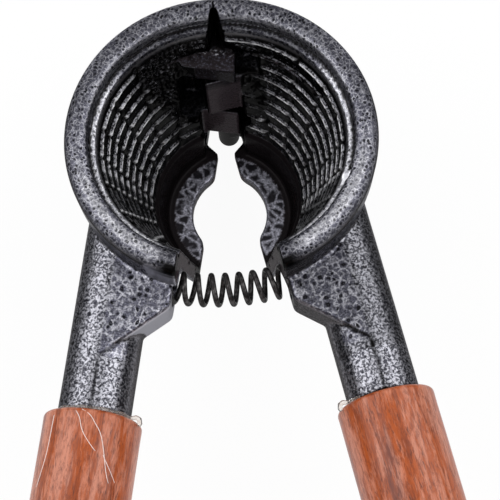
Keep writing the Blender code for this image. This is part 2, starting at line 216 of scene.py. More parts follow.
def tube(points: list[Vector], radii: list[float], sides: int) -> Mesh:
    """A round closed tube along a line of points.

    Args:
        points: centre line.
        radii: radius at each point.
        sides: facets round it.

    Returns:
        The closed mesh.
    """
    bm = bmesh.new()
    rings = []
    heading = (points[1] - points[0]).normalized()
    across = heading.orthogonal().normalized()
    for i, (point, radius) in enumerate(zip(points, radii)):
        ahead = points[min(i + 1, len(points) - 1)] - points[max(i - 1, 0)]
        turned = ahead.normalized()
        across.rotate(heading.rotation_difference(turned))
        heading = turned
        other = heading.cross(across)
        rings.append([bm.verts.new(point + (across * math.cos(t) + other * math.sin(t)) * radius)
                      for t in (math.tau * k / sides for k in range(sides))])
    for ring, following in zip(rings, rings[1:]):
        for k in range(sides):
            j = (k + 1) % sides
            bm.faces.new((ring[k], ring[j], following[j], following[k]))
    bm.faces.new(rings[0][::-1])
    bm.faces.new(rings[-1])
    return closed_mesh(bm, "tube")


def eased(values: Array, low: float, high: float) -> Array:
    """Smooth step from 0 at low to 1 at high."""
    part = np.clip((values - low) / (high - low), 0.0, 1.0)
    return part * part * (3.0 - 2.0 * part)


def beside_line(w: Array, v: Array, start: Point, end: Point) -> tuple[Array, Array]:
    """Where points lie beside a straight line in plan.

    Args:
        w: first coordinates of the points.
        v: their second coordinates.
        start: start of the line.
        end: its end.

    Returns:
        How far along the line each point lies, from 0 to 1, and its distance from the line.
    """
    run = end[0] - start[0], end[1] - start[1]
    part = ((w - start[0]) * run[0] + (v - start[1]) * run[1]) / (run[0] ** 2 + run[1] ** 2)
    part = np.clip(part, 0.0, 1.0)
    return part, np.hypot(w - start[0] - part * run[0], v - start[1] - part * run[1])


def vertex_arrays(mesh: Mesh) -> tuple[Array, Array]:
    """Reads a mesh's vertices.

    Args:
        mesh: the mesh.

    Returns:
        Their positions and their normals, as (n, 3) arrays.
    """
    count = len(mesh.vertices)
    points = np.empty(count * 3, np.float32)
    normals = np.empty(count * 3, np.float32)
    mesh.vertices.foreach_get("co", points)
    mesh.vertex_normals.foreach_get("vector", normals)
    return points.reshape(-1, 3).astype(float), normals.reshape(-1, 3).astype(float)


def paint(mesh: Mesh, name: str, values: Array) -> None:
    """Keeps a number or a vector per vertex for the mesh's material to read.

    Args:
        mesh: the mesh.
        name: attribute name.
        values: one number or one vector for each vertex.
    """
    kind, field = ('FLOAT', "value") if values.ndim == 1 else ('FLOAT_VECTOR', "vector")
    layer = mesh.attributes.new(name, kind, 'POINT')
    layer.data.foreach_set(field, values.astype(np.float32).ravel())


class Casting:
    """A solid joined and cut from closed meshes, then cast in one piece."""

    def __init__(self, base: Mesh) -> None:
        """Starts from a base solid."""
        self.body = self._stand(base, Matrix.Identity(4))
        self.tools: list[Item] = []

    @staticmethod
    def _stand(mesh: Mesh, place: Matrix) -> Item:
        """Puts a mesh into the scene for the time of the work.

        Args:
            mesh: the mesh.
            place: where it stands.

        Returns:
            Its object.
        """
        item = bpy.data.objects.new(mesh.name, mesh)
        bpy.context.scene.collection.objects.link(item)
        item.matrix_world = place
        return item

    def use(self, mesh: Mesh, how: Blend, place: Matrix | None = None,
            rounding: float = 0.0) -> None:
        """Joins a helper solid or cuts it out.

        Args:
            mesh: the helper.
            how: join or cut.
            place: where it stands.
            rounding: width of its rounded edges, or 0 for sharp ones.
        """
        tool = self._stand(mesh, place or Matrix.Identity(4))
        if rounding:
            edge = tool.modifiers.new("edge", 'BEVEL')
            edge.width = rounding
            edge.segments = 3
        step = self.body.modifiers.new("step", 'BOOLEAN')
        step.operation = how.value
        step.solver = 'EXACT'
        step.object = tool
        self.tools.append(tool)

    def cast(self, grain: float, rounds: int) -> Mesh:
        """Casts the solid with softly rounded edges.

        Args:
            grain: edge length of its faces.
            rounds: passes that soften its edges.

        Returns:
            The mesh of the casting.
        """
        skin = self.body.modifiers.new("skin", 'REMESH')
        skin.mode = 'VOXEL'
        skin.voxel_size = grain
        soften = self.body.modifiers.new("soften", 'SMOOTH')
        soften.factor = 0.5
        soften.iterations = rounds
        depsgraph = bpy.context.evaluated_depsgraph_get()
        mesh = bpy.data.meshes.new_from_object(self.body.evaluated_get(depsgraph))
        for item in [self.body, *self.tools]:
            old = item.data
            bpy.data.objects.remove(item)
            bpy.data.meshes.remove(old)
        mesh.shade_smooth()
        return mesh


def set_piece(name: str, mesh: Mesh, place: Matrix, finish: Material) -> Item:
    """Stands a finished mesh in the scene as one piece of the object.

    Args:
        name: the piece's name.
        mesh: its mesh in millimetres, in the frame that place gives.
        place: its frame in world metres.
        finish: its material.

    Returns:
        The placed object.
    """
    paint(mesh, "own", vertex_arrays(mesh)[0])
    mesh.transform(place @ Matrix.Scale(MM, 4))
    mesh.name = name
    mesh.materials.clear()
    mesh.materials.append(finish)
    piece = bpy.data.objects.new(name, mesh)
    bpy.context.scene.collection.objects.link(piece)
    LOG.info("%s: %d faces", name, len(mesh.polygons))
    return piece


class Nodes:
    """A node tree that is written with short calls."""

    def __init__(self, tree: bpy.types.NodeTree) -> None:
        """Takes up a tree."""
        self.tree = tree

    def node(self, kind: str, inputs: dict, **settings: object) -> bpy.types.Node:
        """Adds a node.

        Args:
            kind: Blender's name of the node type.
            inputs: value or socket by input name or index.
            settings: the node's own options.

        Returns:
            The node.
        """
        made = self.tree.nodes.new(kind)
        for key, value in settings.items():
            setattr(made, key, value)
        for key, value in inputs.items():
            self.feed(made.inputs[key], value)
        return made

    def feed(self, socket: Socket, value: object) -> None:
        """Links a socket, or sets its value.

        Args:
            socket: the input.
            value: an output to link to it, or a plain value or colour.
        """
        if isinstance(value, Socket):
            self.tree.links.new(value, socket)
        elif isinstance(value, tuple) and socket.type == 'RGBA':
            socket.default_value = (*value[:3], 1.0)
        else:
            socket.default_value = value

    def step(self, value: object, low: float, high: float, start: float = 0.0,
             end: float = 1.0) -> Socket:
        """Smooth step from start at low to end at high."""
        inputs = {0: value, 1: low, 2: high, 3: start, 4: end}
        return self.node('ShaderNodeMapRange', inputs, interpolation_type='SMOOTHSTEP').outputs[0]

    def span(self, value: object, low: float, high: float) -> Socket:
        """Carries 0 to 1 over to low to high."""
        inputs = {0: value, 1: 0.0, 2: 1.0, 3: low, 4: high}
        return self.node('ShaderNodeMapRange', inputs).outputs[0]

    def reckon(self, operation: str, *values: object, clamp: bool = False) -> Socket:
        """One step of arithmetic, which can be clamped to 0..1."""
        inputs = dict(enumerate(values))
        return self.node('ShaderNodeMath', inputs, operation=operation, use_clamp=clamp).outputs[0]

    def times(self, first: object, second: object) -> Socket:
        """Product of two shares, clamped to 0..1."""
        return self.reckon('MULTIPLY', first, second, clamp=True)

    def most(self, first: object, second: object) -> Socket:
        """Larger of two shares, clamped to 0..1."""
        return self.reckon('MAXIMUM', first, second, clamp=True)

    def rest(self, value: object) -> Socket:
        """What a share leaves of 1, clamped to 0..1."""
        return self.reckon('SUBTRACT', 1.0, value, clamp=True)

    def rays(self, first: str, *others: str) -> Socket:
        """1 for light rays of any of the named kinds.

        Args:
            first: one kind, as the light path node names it.
            others: more kinds.

        Returns:
            The share, which is 0 for all other rays.
        """
        path = self.node('ShaderNodeLightPath', {})
        found = path.outputs[first]
        for kind in others:
            found = self.reckon('MAXIMUM', found, path.outputs[kind])
        return found


class Recipe(Nodes):
    """A material's node tree. Its lengths are in millimetres."""

    def __init__(self, name: str) -> None:
        """Starts a Principled material.

        Args:
            name: the material's name.
        """
        self.material = bpy.data.materials.new(name)
        self.material.use_nodes = True
        super().__init__(self.material.node_tree)
        self.shader = self.tree.nodes["Principled BSDF"]

    def coat(self, **inputs: object) -> None:
        """Feeds the shader's sockets; an underscore in a name stands for a space."""
        for key, value in inputs.items():
            self.feed(self.shader.inputs[key.replace("_", " ")], value)

    def place(self, scale: Triple = (1.0, 1.0, 1.0), shift: Triple = (0.0, 0.0, 0.0)) -> Socket:
        """The piece's own coordinates in millimetres.

        Args:
            scale: what they are multiplied by.
            shift: what is then added to them.

        Returns:
            The coordinates.
        """
        own = self.node('ShaderNodeAttribute', {}, attribute_name="own").outputs["Vector"]
        inputs = {"Vector": own, "Scale": scale, "Location": shift}
        return self.node('ShaderNodeMapping', inputs).outputs[0]

    def grain(self, at: Socket, size: float, detail: float = 2.0,
              roughness: float = 0.5) -> Socket:
        """Soft noise whose lumps are about one size across."""
        inputs = {"Vector": at, "Scale": 1.0 / size, "Detail": detail, "Roughness": roughness}
        return self.node('ShaderNodeTexNoise', inputs).outputs[0]

    def warp(self, at: Socket, size: float, amount: float) -> Socket:
        """Coordinates pushed about by noise, so that a pattern loses its straight lines.

        Args:
            at: the coordinates.
            size: how far apart the pushes lie.
            amount: how far they reach.

        Returns:
            The pushed coordinates.
        """
        inputs = {"Vector": at, "Scale": 1.0 / size, "Detail": 2.0}
        push = self.node('ShaderNodeTexNoise', inputs).outputs[1]
        for operation, values in (('SUBTRACT', {1: (0.5, 0.5, 0.5)}),
                                  ('SCALE', {"Scale": 2.0 * amount}), ('ADD', {1: at})):
            made = self.node('ShaderNodeVectorMath', {0: push, **values}, operation=operation)
            push = made.outputs[0]
        return push

    def cells(self, at: Socket, size: float, feature: str) -> bpy.types.Node:
        """Cell pattern of one mean cell size."""
        inputs = {"Vector": at, "Scale": 1.0 / size}
        return self.node('ShaderNodeTexVoronoi', inputs, feature=feature)

    def mix(self, part: object, first: object, second: object) -> Socket:
        """Mixes two colours."""
        inputs = {0: part, 6: first, 7: second}
        return self.node('ShaderNodeMix', inputs, data_type='RGBA').outputs[2]

    def blend(self, part: object, first: object, second: object) -> Socket:
        """Mixes two numbers."""
        return self.node('ShaderNodeMix', {0: part, 2: first, 3: second}).outputs[0]

    def painted(self, name: str) -> Socket:
        """A number that the mesh keeps for each vertex."""
        return self.node('ShaderNodeAttribute', {}, attribute_name=name).outputs["Fac"]

    def facing_up(self) -> Socket:
        """Upright part of the surface's direction, 1 where it faces straight up."""
        normal = self.node('ShaderNodeNewGeometry', {}).outputs["Normal"]
        return self.node('ShaderNodeSeparateXYZ', {0: normal}).outputs["Z"]

    def bump(self, height: object, depth: float, strength: float) -> Socket:
        """Small relief of one depth in millimetres."""
        inputs = {"Height": height, "Distance": depth * MM, "Strength": strength}
        return self.node('ShaderNodeBump', inputs).outputs[0]


def darker(colour: Colour, share: float) -> Colour:
    """A colour brought down to a share of its strength."""
    return colour[0] * share, colour[1] * share, colour[2] * share


@dataclass(frozen=True)
class Hammertone:
    """Black and silver lacquer that dried into veined cells with dark pits.

    A window is the range over which a share steps from 0 to 1.
    """

    name: str
    shift: float
    cell: float = 1.3
    fine_cell: float = 0.82
    floor_cell: float = 2.3
    vein_window: Point = (0.0, 0.22)
    floor_vein_window: Point = (0.0, 0.24)
    break_window: Point = (0.3, 0.62)
    hollow_window: Point = (0.2, 0.46)
    middle_window: Point = (0.02, 0.22)
    course_pitch: float = 3.4
    first_ledge: float = 6.8
    ledge_window: Point = (0.2, 0.44)
    level_window: Point = (0.06, 0.34)
    drop_top: Point = (-0.42, -0.32)
    drop_foot: Point = (-0.18, -0.08)
    relief: float = 0.09
    lilac: Colour = (0.15, 0.15, 0.195)
    silver: Colour = (0.6, 0.6, 0.66)
    # painted shade: the dark ground of the funnel's floor
    under: Colour = (0.022, 0.0205, 0.025)
    soft_vein: Colour = (0.52, 0.52, 0.61)
    # silver of the painted highlights, and of the bare metal in the chip
    highlight_and_bare_metal: Colour = (0.93, 0.93, 0.96)
    pit: Colour = (0.004, 0.0037, 0.004)
    grey: Colour = (0.155, 0.15, 0.158)
    # dark used for the painted shade: the shade zones, the gripping wall's base and the arms' flank
    # band
    black: Colour = (0.0032, 0.0028, 0.003)
    machined: Colour = (0.078, 0.062, 0.07)

    def pattern(self, recipe: Recipe, at: Socket,
                size: float) -> tuple[Socket, Socket]:
        """Veined cells of one size.

        Args:
            recipe: the material.
            at: coordinates in millimetres.
            size: mean cell size.

        Returns:
            Its colour, and its height from 0 to 1.
        """
        bent = recipe.warp(recipe.warp(at, 1.3 * size, 0.35 * size), 0.4 * size, 0.12 * size)
        edge = recipe.cells(bent, size, 'DISTANCE_TO_EDGE').outputs[0]
        cell = recipe.cells(bent, size, 'F1')
        pick = recipe.node('ShaderNodeSeparateColor', {0: cell.outputs["Color"]})
        mottle = recipe.grain(at, 0.24 * size, 3.0, 0.7)
        broken = recipe.step(recipe.grain(bent, 1.1 * size), *self.break_window)
        foam = recipe.span(recipe.step(mottle, 0.38, 0.66), 0.35, 1.25)
        vein = recipe.rest(recipe.step(edge, *self.vein_window))
        vein = recipe.times(vein, recipe.times(broken, foam))
        vein = recipe.most(vein, recipe.times(recipe.step(mottle, 0.6, 0.72), 0.6))
        hollow = recipe.rest(recipe.step(cell.outputs["Distance"], *self.hollow_window))
        middle = recipe.rest(recipe.step(cell.outputs["Distance"], *self.middle_window))
        hollow = recipe.times(hollow, recipe.span(middle, 1.0, 0.5))
        pit = recipe.times(hollow, recipe.step(pick.outputs[0], 0.45, 0.6))
        tone = recipe.mix(recipe.step(mottle, 0.38, 0.6), darker(self.lilac, 0.3), self.lilac)
        height = recipe.reckon('SUBTRACT', recipe.span(vein, 0.5, 1.0), recipe.span(pit, 0.0, 0.5),
                               clamp=True)
        return recipe.mix(pit, recipe.mix(vein, tone, self.silver), self.pit), height

    def shaded_floor(self, recipe: Recipe, at: Socket) -> Socket:
        """Colour of the floor: dark as painted shade deep in the funnel, under soft lilac veins.

        Args:
            recipe: the material.
            at: coordinates in millimetres.

        Returns:
            The colour.
        """
        bent = recipe.warp(at, self.floor_cell, 0.4 * self.floor_cell)
        edge = recipe.cells(bent, self.floor_cell, 'DISTANCE_TO_EDGE').outputs[0]
        spread = recipe.step(recipe.grain(at, 2.6), 0.26, 0.52)
        foam = recipe.span(recipe.step(recipe.grain(at, 0.4, 3.0, 0.7), 0.35, 0.65), 0.35, 1.0)
        soft = recipe.rest(recipe.step(edge, *self.floor_vein_window))
        vein = recipe.times(recipe.times(soft, spread), foam)
        # painted highlight on the floor's rims
        vein = recipe.most(vein, recipe.times(recipe.painted("painted_highlight"), foam))
        return recipe.mix(vein, self.under, self.soft_vein)

    def walls(self, recipe: Recipe, at: Socket, up: Socket,
              veined: Socket) -> tuple[Socket, Socket]:
        """Colour of the gripping wall: painted shade, with painted highlights along each ledge.

        Args:
            recipe: the material.
            at: coordinates in millimetres.
            up: upright part of the surface's direction.
            veined: the lacquer's pattern.

        Returns:
            The colour, and the share of painted highlight from 0 to 1.
        """
        height = recipe.node('ShaderNodeSeparateXYZ', {0: at}).outputs["Z"]
        lowered = recipe.reckon('ADD', height, self.first_ledge)
        half = 0.5 * self.course_pitch
        course = recipe.reckon('WRAP', lowered, half, -half)
        near = recipe.painted("hinge_side")
        lit = recipe.span(recipe.painted("front"), 1.0, 0.3)
        ledge = recipe.rest(recipe.step(recipe.reckon('ABSOLUTE', course), *self.ledge_window))
        whole = recipe.span(recipe.painted("gaps"), 1.0, 0.0)
        flat = recipe.times(ledge, recipe.step(up, *self.level_window))
        # painted highlight: thin lines on the rounded edge under each ledge, broken by noise
        drop = recipe.times(recipe.step(course, *self.drop_top),
                            recipe.rest(recipe.step(course, *self.drop_foot)))
        broken = recipe.step(recipe.grain(at, 0.9, 3.0), 0.34, 0.56)
        edge = recipe.times(recipe.times(drop, recipe.step(up, -0.1, 0.15)), broken)
        edge = recipe.times(recipe.times(edge, recipe.span(near, 1.0, 0.0)), lit)
        # painted glints where the nodes zone marks the border and the columns
        edge = recipe.most(recipe.times(edge, whole), recipe.times(recipe.painted("nodes"), ledge))
        clumps = recipe.step(recipe.grain(at, 2.2, 2.0), 0.36, 0.56)
        specks = recipe.times(recipe.step(recipe.grain(at, 0.8, 5.0, 0.85), 0.54, 0.62),
                              recipe.span(near, 0.45, 1.0))
        specks = recipe.times(specks, recipe.times(clumps, lit))
        # painted shade: the wall's dark base, with specks of lacquer near the hinge
        speckled = recipe.mix(specks, self.black, recipe.mix(near, veined, self.silver))
        # silver mottle on the ledge tops that face up: the lacquer's own mottle, drawn there as
        # painted light
        patch = recipe.times(recipe.step(recipe.grain(at, 0.5, 4.0, 0.85), 0.46, 0.56),
                             recipe.step(recipe.grain(at, 2.4), 0.25, 0.5))
        patch = recipe.times(recipe.times(flat, patch), recipe.span(near, 0.9, 0.1))
        patch = recipe.times(patch, recipe.times(lit, whole))
        colour = recipe.mix(edge, recipe.mix(patch, speckled, self.silver), self.highlight_and_bare_metal)
        return colour, recipe.most(edge, recipe.times(patch, 0.6))

    def lacquer(self, recipe: Recipe, at: Socket) -> tuple[Socket, ...]:
        """The veined lacquer on faces that look up, with painted highlights and the floor's painted
        shade.

        Args:
            recipe: the material.
            at: coordinates in millimetres.

        Returns:
            Its colour, the colour of its fine cells alone, and its height from 0 to 1.
        """
        coarse, coarse_height = self.pattern(recipe, at, self.cell)
        fine, fine_height = self.pattern(recipe, at, self.fine_cell)
        wide = recipe.painted("wide")
        foam = recipe.step(recipe.grain(at, 0.6, 4.0, 0.8), 0.4, 0.6)
        # painted highlight: the lacquer drawn towards silver on the lip's crown, its band, its
        # inner roll and the floor's rims
        lifted = recipe.times(recipe.painted("painted_highlight"), recipe.span(fine_height, 0.1, 1.0))
        lifted = recipe.times(lifted, recipe.span(foam, 0.25, 1.25))
        veined = recipe.mix(lifted, recipe.mix(wide, fine, coarse), self.highlight_and_bare_metal)
        veined = recipe.mix(recipe.painted("floor"), veined, self.shaded_floor(recipe, at))
        flakes = recipe.step(recipe.grain(recipe.warp(at, 0.7, 0.4), 0.5, 3.0, 0.6), 0.45, 0.58)
        wormy = recipe.mix(flakes, darker(self.lilac, 0.1), darker(self.silver, 0.85))
        veined = recipe.mix(recipe.times(recipe.painted("arm"), 0.75), veined, wormy)
        return veined, fine, recipe.blend(wide, fine_height, coarse_height)

    def outside(self, recipe: Recipe, up: Socket, streak: Socket,
                veined: Socket, fine: Socket) -> Socket:
        """Colour of all but the gripping wall: veined on top, plainer on the sides, as painted
        light.

        Args:
            recipe: the material.
            up: upright part of the surface's direction.
            streak: fine upright streaks.
            veined: the lacquer on faces that look up.
            fine: its fine cells alone.

        Returns:
            The colour.
        """
        # the veins are the lacquer's own; showing them only on faces that look up, with plain grey
        # sides, is painted light
        level = recipe.most(recipe.step(up, 0.18, 0.72), recipe.painted("rolled"))
        side = recipe.mix(streak, darker(self.grey, 0.72), self.grey)
        # painted light: the left web's side drawn lighter, towards silver
        side = recipe.mix(recipe.painted("painted_light"), side, self.silver)
        side = recipe.mix(recipe.times(recipe.painted("body"), 0.85), side, fine)
        # painted shade: a dark band along each arm's flanks, where it turns from up to sideways
        turned = recipe.times(recipe.step(up, 0.36, 0.56), recipe.rest(recipe.step(up, 0.68, 0.86)))
        turned = recipe.times(turned, recipe.times(recipe.painted("arm"), 0.62))
        return recipe.mix(turned, recipe.mix(level, side, veined), self.black)

    def bare_metal(self, recipe: Recipe, at: Socket) -> Socket:
        """Colour of machined faces, with painted shade and lacquer specks on the first knuckle.

        Args:
            recipe: the material.
            at: coordinates in millimetres.

        Returns:
            The colour.
        """
        specks_and_shade = recipe.painted("specks_and_shade")
        specks = recipe.step(recipe.grain(at, 0.6, 4.0, 0.8), 0.5, 0.66)
        # painted shade: the machined colour darkened on the first knuckle deep in the notch, and at
        # the top of the barrel's flat fronts
        shaded_machined = darker(self.machined, 0.25)
        bare = recipe.mix(recipe.step(specks_and_shade, 0.0, 0.2), self.machined, shaded_machined)
        spot = recipe.mix(recipe.step(specks_and_shade, 0.5, 0.9), darker(self.lilac, 0.6), self.silver)
        return recipe.mix(recipe.times(recipe.step(specks_and_shade, 0.0, 0.3), specks), bare, spot)

    def material(self) -> Material:
        """Builds the lacquer, which reads the casting's painted zones.

        Returns:
            The material.
        """
        recipe = Recipe(self.name)
        at = recipe.place(shift=(self.shift, 0.0, 0.0))
        up = recipe.facing_up()
        streak = recipe.grain(recipe.place(scale=(1.0, 1.0, 0.25)), 0.5, 3.0)
        courses, smooth = recipe.painted("courses"), recipe.painted("smooth")
        veined, fine, height = self.lacquer(recipe, at)
        wall, highlight_share = self.walls(recipe, at, up, veined)
        colour = recipe.mix(courses, self.outside(recipe, up, streak, veined, fine), wall)
        colour = recipe.mix(smooth, colour, self.bare_metal(recipe, at))
        colour = recipe.mix(recipe.painted("shade"), colour, self.black)
        metal = recipe.mix(streak, self.silver, self.highlight_and_bare_metal)
        colour = recipe.mix(recipe.painted("chip"), colour, metal)
        recipe.coat(Base_Color=colour, Normal=recipe.bump(height, self.relief, 0.55),
                    Coat_Weight=0.08, Coat_Roughness=0.15, Specular_Tint=(0.12, 0.12, 0.12),
                    Metallic=recipe.span(recipe.times(highlight_share, courses), 0.92, 0.35),
                    Roughness=recipe.blend(smooth, recipe.blend(height, 0.42, 0.3), 0.68))
        return recipe.material


@dataclass(frozen=True)
class DarkSteel:
    """Dark oiled steel of the pin and the spring wire."""

    name: str
    base: Colour
    worn: Colour
    metallic: float
    roughness: float

    def material(self) -> Material:
        """Builds the steel with drawn streaks and rubbed patches.

        Returns:
            The material.
        """
        recipe = Recipe(self.name)
        at = recipe.place()
        rubbed = recipe.step(recipe.grain(at, 0.9, 4.0, 0.6), 0.42, 0.66)
        fine = recipe.grain(at, 0.22, 3.0)
        colour = recipe.mix(rubbed, self.base, self.worn)
        rough = recipe.span(fine, self.roughness - 0.08, self.roughness + 0.12)
        recipe.coat(Base_Color=colour, Metallic=self.metallic, Roughness=rough,
                    Specular_Tint=(0.2, 0.2, 0.2),
                    Normal=recipe.bump(fine, 0.03, 0.4))
        return recipe.material


@dataclass(frozen=True)
class LacqueredWood:
    """Stained wood with the grain along the grip, under clear lacquer."""

    name: str
    shift: float
    dark: Colour = (0.13, 0.022, 0.007)
    warm: Colour = (0.36, 0.067, 0.007)
    # colour of the painted reflection of the lamps in the lacquer
    painted_light: Colour = (0.61, 0.26, 0.175)
    pore: Colour = (0.04, 0.008, 0.005)

    def material(self) -> Material:
        """Builds the wood.

        Returns:
            The material.
        """
        recipe = Recipe(self.name)
        shift = (self.shift, 2.0 * self.shift, 0.0)
        bent = recipe.warp(recipe.place((1.0, 1.0, 0.14), shift), 5.0, 1.3)
        bands = recipe.grain(bent, 3.4, 5.0, 0.72)
        along = recipe.warp(recipe.place((1.0, 1.0, 0.09), shift), 1.6, 0.3)
        fibres = recipe.grain(along, 0.42, 3.0, 0.7)
        curled = recipe.warp(recipe.place((1.0, 1.0, 0.3), shift), 2.0, 0.8)
        figure = recipe.grain(curled, 0.6, 5.0, 0.8)
        # painted reflection: lighter patches drifting along the grain stand for the lamps'
        # reflection in the lacquer
        drifting = recipe.warp(recipe.place((1.0, 1.0, 0.15), (shift[1], shift[0], 0.0)), 3.0, 0.9)
        reflection_patches = recipe.grain(drifting, 3.2, 6.0, 0.74)
        pores = recipe.grain(recipe.place((1.0, 1.0, 0.16), shift), 0.34, 2.0)
        open_pores = recipe.step(pores, 0.58, 0.72)
        tone = recipe.mix(recipe.step(bands, 0.3, 0.52), self.dark, self.warm)
        for share, strength, colour in ((recipe.step(reflection_patches, 0.44, 0.58), 0.6, self.painted_light),
                                        (recipe.step(figure, 0.48, 0.62), 0.55, self.dark),
                                        (recipe.step(fibres, 0.52, 0.66), 0.3, self.dark),
                                        (open_pores, 0.6, self.pore)):
            tone = recipe.mix(recipe.times(share, strength), tone, colour)
        relief = recipe.bump(recipe.rest(open_pores), 0.05, 0.3)
        recipe.coat(Base_Color=tone, Roughness=recipe.span(figure, 0.34, 0.5), Normal=relief,
                    Coat_Weight=0.25, Coat_Roughness=0.12, Specular_IOR_Level=0.3)
        return recipe.material


@dataclass(frozen=True)
class SetGlue:
    """Clear glue that set in a bead, a little cloudy inside."""

    name: str
    clear: Colour = (0.9, 0.86, 0.82)
    cloudy: Colour = (0.78, 0.68, 0.62)
    thread: Colour = (0.8, 0.66, 0.62)

    def material(self) -> Material:
        """Builds the glue.

        Returns:
            The material.
        """
        recipe = Recipe(self.name)
        cloud = recipe.grain(recipe.place(), 0.8, 3.0)
        colour = recipe.mix(recipe.step(cloud, 0.4, 0.65), self.clear, self.cloudy)
        threads = recipe.painted("threads")
        colour = recipe.mix(threads, colour, self.thread)
        recipe.coat(Base_Color=colour, Roughness=recipe.span(cloud, 0.05, 0.16),
                    Transmission_Weight=recipe.span(threads, 0.9, 0.0), IOR=1.4,
                    Normal=recipe.bump(cloud, 0.1, 0.3))
        return recipe.material


